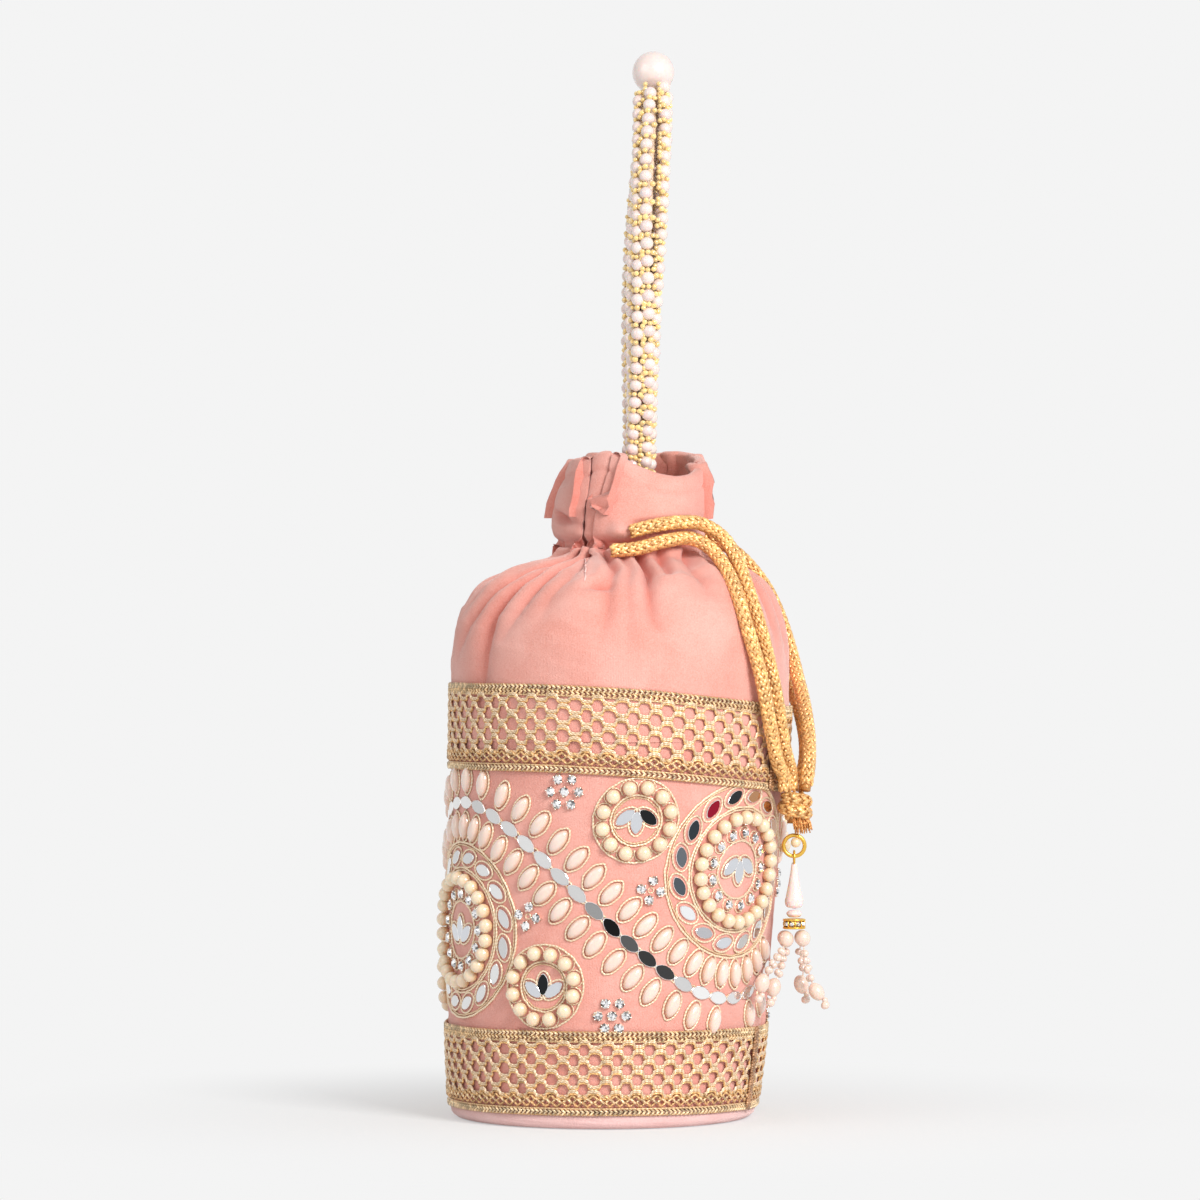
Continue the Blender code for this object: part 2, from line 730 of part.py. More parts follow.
# The knot that gathers the four ends, with a thread eye below it that carries the ring.
def make_knot():
    knot = turned("cord_knot", KNOT_PROFILE, cord_gold, 12, KNOT_PLACE)
    eye_centre = RING_CENTRE + Vector((0.0, 0.0, RING_RADIUS + EYE_SHIFT))
    eye = eye_of_wire("knot_eye", eye_centre, cord_gold)
    cut_with(knot, eye, "UNION")


# The tassel: a gold ring, a long drop, a spacer, a ring of stones and four strings of pearls.
def make_tassel():
    bpy.ops.mesh.primitive_torus_add(
        major_radius=RING_RADIUS,
        minor_radius=RING_WIRE,
        major_segments=18,
        minor_segments=6,
        location=RING_CENTRE,
        rotation=(math.radians(90.0), 0.0, 0.0),
    )
    ring = bpy.context.object
    ring.name = "tassel_ring"
    ring.data.materials.append(gold)
    ring.data.shade_smooth()
    for collection in list(ring.users_collection):
        collection.objects.unlink(ring)
    bag.objects.link(ring)

    axis = Vector((RING_CENTRE.x, RING_CENTRE.y, 0.0))
    drop = turned("tassel_drop", DROP_PROFILE, pearl, 10, axis)
    eye_centre = RING_CENTRE - Vector((0.0, 0.0, RING_RADIUS + EYE_SHIFT))
    cut_with(drop, eye_of_wire("drop_eye", eye_centre, gold), "UNION")
    turned("tassel_spacer", SPACER_PROFILE, pearl, 10, axis)
    turned("tassel_rondelle", RONDELLE_PROFILE, gold, 12, axis)


# Each string of the tassel, in millimetres: its head pearl, the first and last of its small beads,
# its oval pearl and its end bead.
HEAD_RADIUS = 2.2 * MM
BEAD_RADIUS = 1.2 * MM
OVAL_RADIUS = 2.1 * MM
OVAL_STRETCH = 1.3
END_RADIUS = 1.3 * MM
BEAD_STRINGS = [
    [(51.1, -20.0, 50.4), (51.5, -20.7, 46.5), (53.0, -21.2, 39.8), (54.8, -21.5, 35.8), (57.2, -21.9, 32.1)],
    [(50.9, -15.3, 50.4), (50.4, -15.2, 46.4), (51.3, -15.4, 41.8), (50.8, -15.2, 37.4), (52.0, -15.4, 33.2)],
    [(46.4, -20.6, 50.2), (45.0, -22.8, 47.0), (41.6, -26.2, 42.0), (39.6, -28.4, 38.6), (38.6, -28.8, 34.3)],
    [(46.2, -15.8, 50.4), (46.2, -17.4, 46.6), (44.4, -20.0, 40.7), (42.9, -21.8, 37.0), (42.0, -22.8, 32.8)],
]


def bead_row(name, first, last):
    """Small beads in a row, as one tube whose width swells at each bead."""
    way = (last - first).normalized()
    count = round((last - first).length / (2.0 * BEAD_RADIUS)) + 1
    pitch = (last - first).length / (count - 1)
    points = [first - way * BEAD_RADIUS]
    radii = [0.4]
    for i in range(count):
        for share, size in ((-0.25, 0.95), (0.25, 0.95), (0.5, 0.55)):
            if share < 0.5 or i < count - 1:
                points.append(first + way * pitch * (i + share))
                radii.append(size)
    points.append(last + way * BEAD_RADIUS)
    radii.append(0.4)
    curve_tube(name, points, BEAD_RADIUS, pearl, radii=radii, sides=1)


def make_bead_string(number, places):
    head, first, last, oval, end = (Vector(place) * MM for place in places)
    ball(f"head_pearl_{number}", head, HEAD_RADIUS, pearl)
    bead_row(f"bead_row_{number}", first, last)
    ball(f"oval_pearl_{number}", oval, OVAL_RADIUS, pearl, OVAL_STRETCH, end - oval)
    ball(f"end_bead_{number}", end, END_RADIUS, pearl, columns=8, rows=5)


# The handle: two legs of beaded rope that meet under one big pearl, sewn inside the ruffle.
def make_handle():
    for name, side in (("front", 1.0), ("back", -1.0)):
        route = [(x, y * side, z) for x, y, z in HANDLE_ROUTE]
        points = evenly_spaced(route, PEARL_PITCH / 2.0)
        radii = [1.0 if i % 2 else ROPE_WAIST / ROPE_RADIUS for i in range(len(points))]
        radii[0], radii[1] = HANDLE_TIP
        curve_tube(f"handle_rope_{name}", points, ROPE_RADIUS, pearl, radii=radii, sides=1)
        foot = Vector(route[0])
        work = bmesh.new()
        bmesh.ops.create_cube(work, size=1.0)
        bmesh.ops.transform(work, matrix=Matrix.Diagonal((*HANDLE_FOOT, 1.0)), verts=work.verts)
        tab = new_object(f"handle_foot_{name}", mesh_from(work, "handle_foot"), satin, smooth=False)
        tab.location = foot - Vector((0.0, side * HANDLE_FOOT_SHIFT, GAP + HANDLE_FOOT[2] / 2.0))
    ball("top_pearl", TOP_PEARL_CENTRE, TOP_PEARL_RADIUS, pearl, columns=14, rows=9)


make_base()
make_stiffener()
make_panel()
make_lace("upper_lace_band", UPPER_LACE)
make_lace("lower_lace_band", LOWER_LACE)
make_gathered_top()
make_lining()
make_channel()
make_strands()
make_knot()
make_tassel()
for index, string in enumerate(BEAD_STRINGS):
    make_bead_string(index + 1, string)
make_handle()
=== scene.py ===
"""Potli bag in blush velvet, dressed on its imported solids.

Metres, +Z up, front towards -Y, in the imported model's own frame. The sections follow the bag as it is
put together, after the camera and the free cords, which are made first.
"""

import math
import random

import bmesh
import bpy
import numpy as np
from mathutils import Matrix, Vector


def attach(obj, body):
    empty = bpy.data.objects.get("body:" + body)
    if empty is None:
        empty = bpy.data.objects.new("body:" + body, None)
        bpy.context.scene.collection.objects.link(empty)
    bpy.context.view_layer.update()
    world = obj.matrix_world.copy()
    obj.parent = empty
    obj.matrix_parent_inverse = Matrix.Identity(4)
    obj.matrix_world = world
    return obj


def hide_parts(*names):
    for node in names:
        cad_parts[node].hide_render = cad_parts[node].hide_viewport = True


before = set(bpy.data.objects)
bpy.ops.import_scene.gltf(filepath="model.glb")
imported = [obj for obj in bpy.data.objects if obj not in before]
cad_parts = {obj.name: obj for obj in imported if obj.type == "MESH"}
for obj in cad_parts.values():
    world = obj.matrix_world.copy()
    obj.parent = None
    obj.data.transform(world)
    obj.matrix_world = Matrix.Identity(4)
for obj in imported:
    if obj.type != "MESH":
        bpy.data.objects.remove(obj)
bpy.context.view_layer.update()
bpy.context.scene.view_settings.view_transform = "Standard"

# The camera stands level in front of the bag, where the photographer's did. 336 mm of the bag's own
# plane fill the picture, and the middle of the picture is 144 mm above the floor.
camera = bpy.data.objects.new("camera", bpy.data.cameras.new("camera"))
camera.location = (-0.00504, -1.6, 0.144)
camera.rotation_euler = (math.radians(90.0), 0.0, 0.0)
camera.data.sensor_width = 36.0
camera.data.lens = 36.0 * 1.6 / 0.336
camera.data.clip_start = 0.1
camera.data.clip_end = 20.0
bpy.context.scene.collection.objects.link(camera)
bpy.context.scene.camera = camera


# The four free ends of the two drawcords. Each is a 4 mm tube knitted from gold lurex thread, and hangs
# from its hole in the channel to the knot. Its stitches are modelled: two legs to each stitch of a wale.
STRAND_ROUTES = {
    "drawcord_front_left": [
        (-2.0, -31.2, 157.6),
        (5.4, -31.6, 158.2),
        (12.8, -29.4, 160.2),
        (19.8, -24.2, 161.0),
        (25.4, -25.0, 158.2),
        (29.2, -29.6, 153.2),
        (32.2, -35.8, 146.4),
        (35.4, -38.6, 135.8),
        (38.0, -37.6, 127.0),
        (39.8, -36.4, 119.4),
        (41.6, -33.4, 109.7),
        (43.6, -29.2, 100.0),
        (45.6, -24.0, 95.6),
        (46.0, -23.0, 91.4),
    ],
    "drawcord_front_right": [
        (3.2, -30.0, 162.8),
        (9.6, -29.4, 164.4),
        (16.4, -26.2, 165.4),
        (23.0, -22.4, 165.0),
        (29.2, -21.4, 161.0),
        (33.0, -26.4, 154.2),
        (35.6, -32.0, 146.8),
        (39.0, -34.4, 136.0),
        (41.8, -32.4, 125.0),
        (43.8, -30.6, 115.2),
        (45.6, -26.6, 104.0),
        (47.7, -19.8, 96.4),
        (48.0, -18.5, 91.5),
    ],
    "drawcord_back_left": [
        (-2.0, 31.2, 157.6),
        (5.4, 31.6, 158.6),
        (12.8, 30.2, 159.8),
        (19.6, 28.6, 159.4),
        (25.8, 28.2, 157.4),
        (31.6, 28.8, 153.8),
        (37.2, 29.4, 148.0),
        (41.6, 29.4, 140.4),
        (44.8, 27.0, 131.6),
        (47.8, 21.6, 122.4),
        (50.8, 12.6, 114.2),
        (52.2, 3.2, 107.4),
        (52.4, -4.8, 102.0),
        (51.6, -10.8, 97.0),
        (49.8, -14.1, 91.4),
    ],
    "drawcord_back_right": [
        (3.2, 30.0, 162.8),
        (10.4, 28.8, 164.8),
        (17.8, 25.8, 165.2),
        (24.6, 23.2, 163.2),
        (31.0, 22.2, 159.4),
        (36.8, 22.2, 154.4),
        (42.0, 22.2, 147.6),
        (45.8, 20.8, 139.6),
        (48.6, 16.8, 130.8),
        (50.6, 10.4, 122.4),
        (52.2, 1.4, 114.6),
        (53.0, -7.6, 107.4),
        (53.0, -14.4, 101.8),
        (52.6, -18.6, 97.0),
        (51.7, -20.9, 91.4),
    ],
}


def smooth_rows(rows, steps):
    """Rows of numbers with steps - 1 more rows between each two, on a Catmull-Rom curve."""
    points = np.array(rows, float)
    padded = np.vstack([2 * points[0] - points[1], points, 2 * points[-1] - points[-2]])
    out = []
    for a, b, c, d in zip(padded, padded[1:], padded[2:], padded[3:]):
        for t in np.arange(steps) / steps:
            bend = (2 * a - 5 * b + 4 * c - d) * t * t + (3 * b - a - 3 * c + d) * t**3
            out.append(0.5 * (2 * b + (c - a) * t + bend))
    out.append(points[-1])
    return np.array(out)


def spaced_along(points, count):
    """That many points, evenly far apart, along a line of points."""
    along = np.concatenate([[0.0], np.cumsum(np.linalg.norm(np.diff(points, axis=0), axis=1))])
    wanted = np.linspace(0.0, along[-1], count)
    return np.stack([np.interp(wanted, along, points[:, k]) for k in range(3)], axis=1)


def line_length(points):
    return float(np.linalg.norm(np.diff(points, axis=0), axis=1).sum())


def frames_along(points, closed=False, up=None):
    """Directions along, across and out of a line, carried along it without twist."""
    if closed:
        along = np.roll(points, -1, axis=0) - np.roll(points, 1, axis=0)
    else:
        along = np.gradient(points, axis=0)
    along /= np.linalg.norm(along, axis=1)[:, None]
    if up is not None:
        across = np.cross(along, up)
        across /= np.linalg.norm(across, axis=1)[:, None]
        return along, across, np.cross(across, along)
    side = np.cross(along[0], (0.0, 0.0, 1.0))
    if np.linalg.norm(side) < 0.1:
        side = np.cross(along[0], (0.0, 1.0, 0.0))
    sides = []
    for way in along:
        side = side - way * (side @ way)
        side = side / np.linalg.norm(side)
        sides.append(side)
    across = np.array(sides)
    return along, across, np.cross(across, along)


class Bundle:
    """Gathers the points, faces and tone of many small like shapes, which become one mesh."""

    def __init__(self):
        self.points, self.faces, self.tones, self.places = [], [], [], []
        self.count = 0

    def add(self, points, faces, tone=(1.0, 1.0, 1.0), place=None):
        points = np.asarray(points, float)
        self.points.append(points)
        self.faces.extend([tuple(int(i) + self.count for i in face) for face in faces])
        tone = np.asarray(tone, float)
        self.tones.append(tone if tone.ndim == 2 else np.tile(tone, (len(points), 1)))
        self.places.append(np.zeros((len(points), 2)) if place is None else np.asarray(place, float))
        self.count += len(points)

    def tube(self, line, radius, sides=6, closed=False, tone=(1.0, 1.0, 1.0), up=None, flat=1.0):
        """A tube on a line. The radius may change along it, and flat squeezes it towards its bed."""
        line = np.asarray(line, float)
        count = len(line)
        _, across, out = frames_along(line, closed, up)
        radii = np.broadcast_to(np.asarray(radius, float), (count,))
        turn = np.arange(sides) * 2.0 * math.pi / sides
        rings = (
            line[:, None, :]
            + across[:, None, :] * (radii[:, None] * np.cos(turn))[:, :, None]
            + out[:, None, :] * (flat * radii[:, None] * np.sin(turn))[:, :, None]
        )
        step = np.linalg.norm(np.diff(line, axis=0, prepend=line[:1]), axis=1)
        travelled = np.cumsum(step)
        place = np.stack(
            [np.repeat(travelled, sides), np.tile(np.arange(sides) / sides, count)],
            axis=1,
        )
        faces = []
        for i in range(count if closed else count - 1):
            j = (i + 1) % count
            for k in range(sides):
                m = (k + 1) % sides
                faces.append((i * sides + k, i * sides + m, j * sides + m, j * sides + k))
        if not closed:
            faces.append(tuple(range(sides))[::-1])
            faces.append(tuple((count - 1) * sides + k for k in range(sides)))
        self.add(rings.reshape(-1, 3), faces, tone, place)

    def piece(self, name, material, body, slot, smooth=True):
        """Makes the mesh, gives it its material, and lets it ride on its body."""
        mesh = bpy.data.meshes.new(name)
        mesh.from_pydata(np.concatenate(self.points).tolist(), [], self.faces)
        tone = mesh.color_attributes.new("tone", "FLOAT_COLOR", "POINT")
        colours = np.ones((self.count, 4), np.float32)
        colours[:, :3] = np.concatenate(self.tones)
        tone.data.foreach_set("color", colours.ravel())
        layer = mesh.uv_layers.new(name="thread")
        corners = np.zeros(len(mesh.loops), np.int32)
        mesh.loops.foreach_get("vertex_index", corners)
        spots = np.concatenate(self.places)[corners]
        layer.data.foreach_set("uv", spots.astype(np.float32).ravel())
        if smooth:
            mesh.shade_smooth()
        mesh.materials.append(material)
        made = bpy.data.objects.new(name, mesh)
        bpy.context.scene.collection.objects.link(made)
        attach(made, body)
        return made


def nodes_of(name):
    """A new material, its nodes, its links and its Principled shader."""
    material = bpy.data.materials.new(name)
    material.use_nodes = True
    tree = material.node_tree
    return material, tree.nodes, tree.links, tree.nodes["Principled BSDF"]


def make_twisted_thread():
    """Shader group: painted light on the turns of a twisted thread and painted shade between them, over random fibres,
    and the relief of the turns.
    """
    group = bpy.data.node_groups.new("twisted_thread", "ShaderNodeTree")
    pitch = group.interface.new_socket("Pitch", in_out="INPUT", socket_type="NodeSocketFloat")
    pitch.default_value = 0.0008
    ply = group.interface.new_socket("Plies", in_out="INPUT", socket_type="NodeSocketFloat")
    ply.default_value = 2.0
    group.interface.new_socket("Tone", in_out="OUTPUT", socket_type="NodeSocketFloat")
    group.interface.new_socket("Height", in_out="OUTPUT", socket_type="NodeSocketFloat")
    start = group.nodes.new("NodeGroupInput")
    end = group.nodes.new("NodeGroupOutput")
    place = group.nodes.new("ShaderNodeUVMap")
    place.uv_map = "thread"
    split = group.nodes.new("ShaderNodeSeparateXYZ")
    group.links.new(place.outputs["UV"], split.inputs["Vector"])
    turns = group.nodes.new("ShaderNodeMath")
    turns.operation = "DIVIDE"
    group.links.new(split.outputs["X"], turns.inputs[0])
    group.links.new(start.outputs["Pitch"], turns.inputs[1])
    round_it = group.nodes.new("ShaderNodeMath")
    round_it.operation = "MULTIPLY_ADD"
    group.links.new(split.outputs["Y"], round_it.inputs[0])
    group.links.new(start.outputs["Plies"], round_it.inputs[1])
    group.links.new(turns.outputs["Value"], round_it.inputs[2])
    wrap = group.nodes.new("ShaderNodeMath")
    wrap.operation = "PINGPONG"
    wrap.inputs[1].default_value = 0.5
    group.links.new(round_it.outputs["Value"], wrap.inputs[0])
    rounded = group.nodes.new("ShaderNodeMapRange")
    rounded.interpolation_type = "SMOOTHSTEP"
    rounded.inputs["From Max"].default_value = 0.5
    group.links.new(wrap.outputs["Value"], rounded.inputs["Value"])
    fibres = group.nodes.new("ShaderNodeTexNoise")
    fibres.inputs["Scale"].default_value = 5200.0
    fibres.inputs["Detail"].default_value = 2.0
    where = group.nodes.new("ShaderNodeTexCoord")
    group.links.new(where.outputs["Object"], fibres.inputs["Vector"])
    mixed = group.nodes.new("ShaderNodeMath")
    mixed.operation = "MULTIPLY_ADD"
    mixed.inputs[1].default_value = 0.7
    group.links.new(fibres.outputs["Fac"], mixed.inputs[0])
    halved = group.nodes.new("ShaderNodeMath")
    halved.operation = "MULTIPLY"
    halved.inputs[1].default_value = 0.5
    group.links.new(rounded.outputs["Result"], halved.inputs[0])
    group.links.new(halved.outputs["Value"], mixed.inputs[2])
    group.links.new(mixed.outputs["Value"], end.inputs["Tone"])
    group.links.new(rounded.outputs["Result"], end.inputs["Height"])
    return group


twisted_thread = make_twisted_thread()


def thread_material(name, dark, light, roughness, metallic, pitch, relief):
    """A twisted thread: painted shade between its turns and painted light on them, and the piece's tone over both."""
    material, nodes, links, shader = nodes_of(name)
    turns = nodes.new("ShaderNodeGroup")
    turns.node_tree = twisted_thread
    turns.inputs["Pitch"].default_value = pitch
    colours = nodes.new("ShaderNodeMix")
    colours.data_type = "RGBA"
    colours.inputs["A"].default_value = (*dark, 1.0)
    colours.inputs["B"].default_value = (*light, 1.0)
    links.new(turns.outputs["Tone"], colours.inputs["Factor"])
    tone = nodes.new("ShaderNodeVertexColor")
    tone.layer_name = "tone"
    tinted = nodes.new("ShaderNodeMix")
    tinted.data_type = "RGBA"
    tinted.blend_type = "MULTIPLY"
    tinted.inputs["Factor"].default_value = 1.0
    links.new(colours.outputs["Result"], tinted.inputs["A"])
    links.new(tone.outputs["Color"], tinted.inputs["B"])
    links.new(tinted.outputs["Result"], shader.inputs["Base Color"])
    bump = nodes.new("ShaderNodeBump")
    bump.inputs["Strength"].default_value = 0.6
    bump.inputs["Distance"].default_value = relief
    links.new(turns.outputs["Height"], bump.inputs["Height"])
    links.new(bump.outputs["Normal"], shader.inputs["Normal"])
    shader.inputs["Roughness"].default_value = roughness
    shader.inputs["Metallic"].default_value = metallic
    shader.inputs["Specular IOR Level"].default_value = 0.6
    return material


lurex = thread_material(
    "gold_lurex", (0.86, 0.34, 0.06), (1.0, 0.71, 0.34), 0.30, 0.35, 0.0009, 0.00012
)


def stitch_leg(columns=6, rows=5):
    """One leg of a stitch, of unit size: a plump grain that narrows at both ends, lying along X."""
    points, places, faces = [], [], []
    for i in range(rows):
        share = i / (rows - 1)
        width = math.sin(math.pi * (0.1 + 0.8 * share)) ** 0.7
        for k in range(columns):
            turn = 2.0 * math.pi * k / columns
            points.append((share - 0.5, 0.5 * width * math.cos(turn), 0.5 * width * math.sin(turn)))
            places.append((share * 0.0022, k / columns))
    for i in range(rows - 1):
        for k in range(columns):
            m = (k + 1) % columns
            faces.append((i * columns + k, (i + 1) * columns + k, (i + 1) * columns + m, i * columns + m))
    faces.append(tuple(range(columns)))
    faces.append(tuple((rows - 1) * columns + k for k in range(columns))[::-1])
    return np.array(points), np.array(places), faces


STITCH_LEG = stitch_leg()


def knit_along(bundle, line, radius, wales, pitch, seed, fullness=1.0):
    """Covers a line with a knitted tube: wales of V-shaped stitches round a core toned darker, as painted shade between
    the stitches.
    """
    chance = random.Random(seed)
    along, across, out = frames_along(line)
    travelled = np.concatenate([[0.0], np.cumsum(np.linalg.norm(np.diff(line, axis=0), axis=1))])
    # The core is toned dark as painted shade, where the inside of the tube shows between the stitches.
    bundle.tube(line, radius * 0.74, 8, tone=(0.55, 0.42, 0.3))
    shape, places, faces = STITCH_LEG
    wide = 2.0 * math.pi * radius / wales
    count = int(travelled[-1] / pitch)
    for row in range(count):
        for wale in range(wales):
            offset = 0.5 if wale % 2 else 0.0
            for leg in (-1.0, 1.0):
                spot = (row + 0.5 + 0.5 * offset) * pitch
                turn = 2.0 * math.pi * (wale + 0.5 + 0.24 * leg) / wales + 0.12 * spot / radius
                at = np.array([np.interp(spot, travelled, line[:, k]) for k in range(3)])
                near = min(len(line) - 1, int(np.searchsorted(travelled, spot)))
                outwards = across[near] * math.cos(turn) + out[near] * math.sin(turn)
                sideways = -across[near] * math.sin(turn) + out[near] * math.cos(turn)
                lean = math.radians(27.0 + chance.uniform(-5.0, 5.0)) * leg
                way = along[near] * math.cos(lean) + sideways * math.sin(lean)
                cross = np.cross(outwards, way)
                size = np.array([pitch * 1.32, wide * 0.6 * fullness, radius * 0.5])
                made = (
                    at
                    + outwards * radius * 0.76
                    + way * (shape[:, :1] * size[0])
                    + cross * (shape[:, 1:2] * size[1])
                    + outwards * (shape[:, 2:] * size[2])
                )
                glint = chance.uniform(0.72, 1.05) if chance.random() < 0.75 else chance.uniform(1.1, 1.35)
                bundle.add(made, faces, (glint, glint * 0.98, glint * 0.94), places)


CORD_WIDTH = 0.004
for number, (name, route) in enumerate(STRAND_ROUTES.items()):
    line = smooth_rows(np.array(route) * 0.001, 24)
    line = spaced_along(line, int(line_length(line) / 0.0009))
    strand = Bundle()
    knit_along(strand, line, CORD_WIDTH / 2.0, 6, 0.0021, 40 + number)
    strand.piece(name + "_knit", lurex, "bag", "cord")
    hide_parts(name)


# The knot that gathers the four ends: the same knitted cord wound once and a half round the bundle, the
# ends tucked through, and a tuft of cut, frayed lurex where they come out below it.
KNOT_MIDDLE = (0.0489, -0.0186)


def helix(radius, top, bottom, turns, start, count):
    share = np.linspace(0.0, 1.0, count)
    turn = start + 2.0 * math.pi * turns * share
    x = KNOT_MIDDLE[0] + radius * np.cos(turn)
    y = KNOT_MIDDLE[1] + radius * np.sin(turn)
    return np.stack([x, y, top + (bottom - top) * share], axis=1)


knot = Bundle()
knit_along(knot, helix(0.0031, 0.0896, 0.0846, 1.55, 3.6, 60), 0.0019, 6, 0.0021, 71, 1.1)
heart = np.array([(*KNOT_MIDDLE, z) for z in np.linspace(0.0905, 0.0822, 12)])
knit_along(knot, heart, 0.0029, 9, 0.0022, 72)
fray = random.Random(7)
for _ in range(110):
    turn = fray.uniform(-1.9, 0.9)
    reach = fray.uniform(0.0008, 0.0036)
    low = fray.uniform(0.0793, 0.0822)
    top = (
        KNOT_MIDDLE[0] + 0.4 * reach * math.cos(turn),
        KNOT_MIDDLE[1] + 0.4 * reach * math.sin(turn),
        0.0856,
    )
    out = (
        KNOT_MIDDLE[0] + 0.0004 + reach * math.cos(turn),
        KNOT_MIDDLE[1] + reach * math.sin(turn),
        0.0832,
    )
    end = (
        KNOT_MIDDLE[0] + 0.0006 + 1.12 * reach * math.cos(turn) + fray.uniform(-0.0003, 0.0003),
        KNOT_MIDDLE[1] + 1.05 * reach * math.sin(turn),
        low,
    )
    hair = smooth_rows([top, out, end], 4)
    tone = fray.uniform(0.6, 1.15)
    knot.tube(hair, 0.00017, 4, tone=(tone, tone * 0.78, tone * 0.6))
knot_piece = knot.piece("cord_knot_knit", lurex, "bag", "cord")
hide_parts("cord_knot")

# The base: a roll of pale velvet pulled over a stiff oval board and closed under the lower lace. The
# board lies inside it, a plain grey card that shows only from within.
WALL_PROFILE = [
    (0.0, -0.0043, 0.0420),
    (0.022, -0.0034, 0.0440),
    (0.060, -0.0020, 0.0456),
    (0.095, 0.0, 0.0466),
    (0.125, 0.0010, 0.0472),
]
WALL_DEPTH_RATIO = 1.1
FINE_WALL = smooth_rows(WALL_PROFILE, 12)


def wall_frame(angles, heights):
    """Points of the bag's wall and the directions out of it. The angle is 0 at the front."""
    angles, heights = np.broadcast_arrays(np.asarray(angles, float), np.asarray(heights, float))
    middle = np.interp(heights, FINE_WALL[:, 0], FINE_WALL[:, 1])
    wide = np.interp(heights, FINE_WALL[:, 0], FINE_WALL[:, 2])
    deep = wide * WALL_DEPTH_RATIO
    points = np.stack([middle + wide * np.sin(angles), -deep * np.cos(angles), heights], axis=-1)
    normals = np.stack([deep * np.sin(angles), -wide * np.cos(angles), 0.0 * angles], axis=-1)
    normals /= np.linalg.norm(normals, axis=-1)[..., None]
    return points, normals


def wall_points(angles, heights, outwards=0.0):
    points, normals = wall_frame(angles, heights)
    return points + normals * np.asarray(outwards, float)[..., None]


def soft_waves(seed, first, second, count=7, finest=9.0):
    """Gentle uneven waves over a grid, from -1 to 1: how hand-sewn cloth never lies quite true."""
    chance = random.Random(seed)
    total = 0.0
    for _ in range(count):
        a = round(chance.uniform(1.0, finest))
        b = chance.uniform(0.4, finest)
        total = total + np.sin(a * first + b * second + chance.uniform(0.0, 6.3))
    return total / count


def cloth_grid(name, points, across, along, material, closed=True, tone=None):
    """Cloth on a grid of points, rows by columns, with its thread directions as a UV map and a tone."""
    rows, columns = points.shape[:2]
    work = bmesh.new()
    layer = work.loops.layers.uv.new("cloth")
    made = [[work.verts.new(point) for point in row] for row in points]
    for i in range(rows - 1):
        for k in range(columns if closed else columns - 1):
            m = (k + 1) % columns
            face = work.faces.new((made[i][k], made[i][m], made[i + 1][m], made[i + 1][k]))
            ends = ((i, k), (i, k + 1), (i + 1, k + 1), (i + 1, k))
            for corner, (row, column) in zip(face.loops, ends):
                corner[layer].uv = (across * column / columns, along[row])
            face.smooth = True
    mesh = bpy.data.meshes.new(name)
    work.to_mesh(mesh)
    work.free()
    colours = np.ones((rows * columns, 4), np.float32)
    if tone is not None:
        colours[:, :3] = tone.reshape(-1, 3)
    mesh.color_attributes.new("tone", "FLOAT_COLOR", "POINT").data.foreach_set("color", colours.ravel())
    mesh.materials.append(material)
    cloth = bpy.data.objects.new(name, mesh)
    bpy.context.scene.collection.objects.link(cloth)
    return cloth


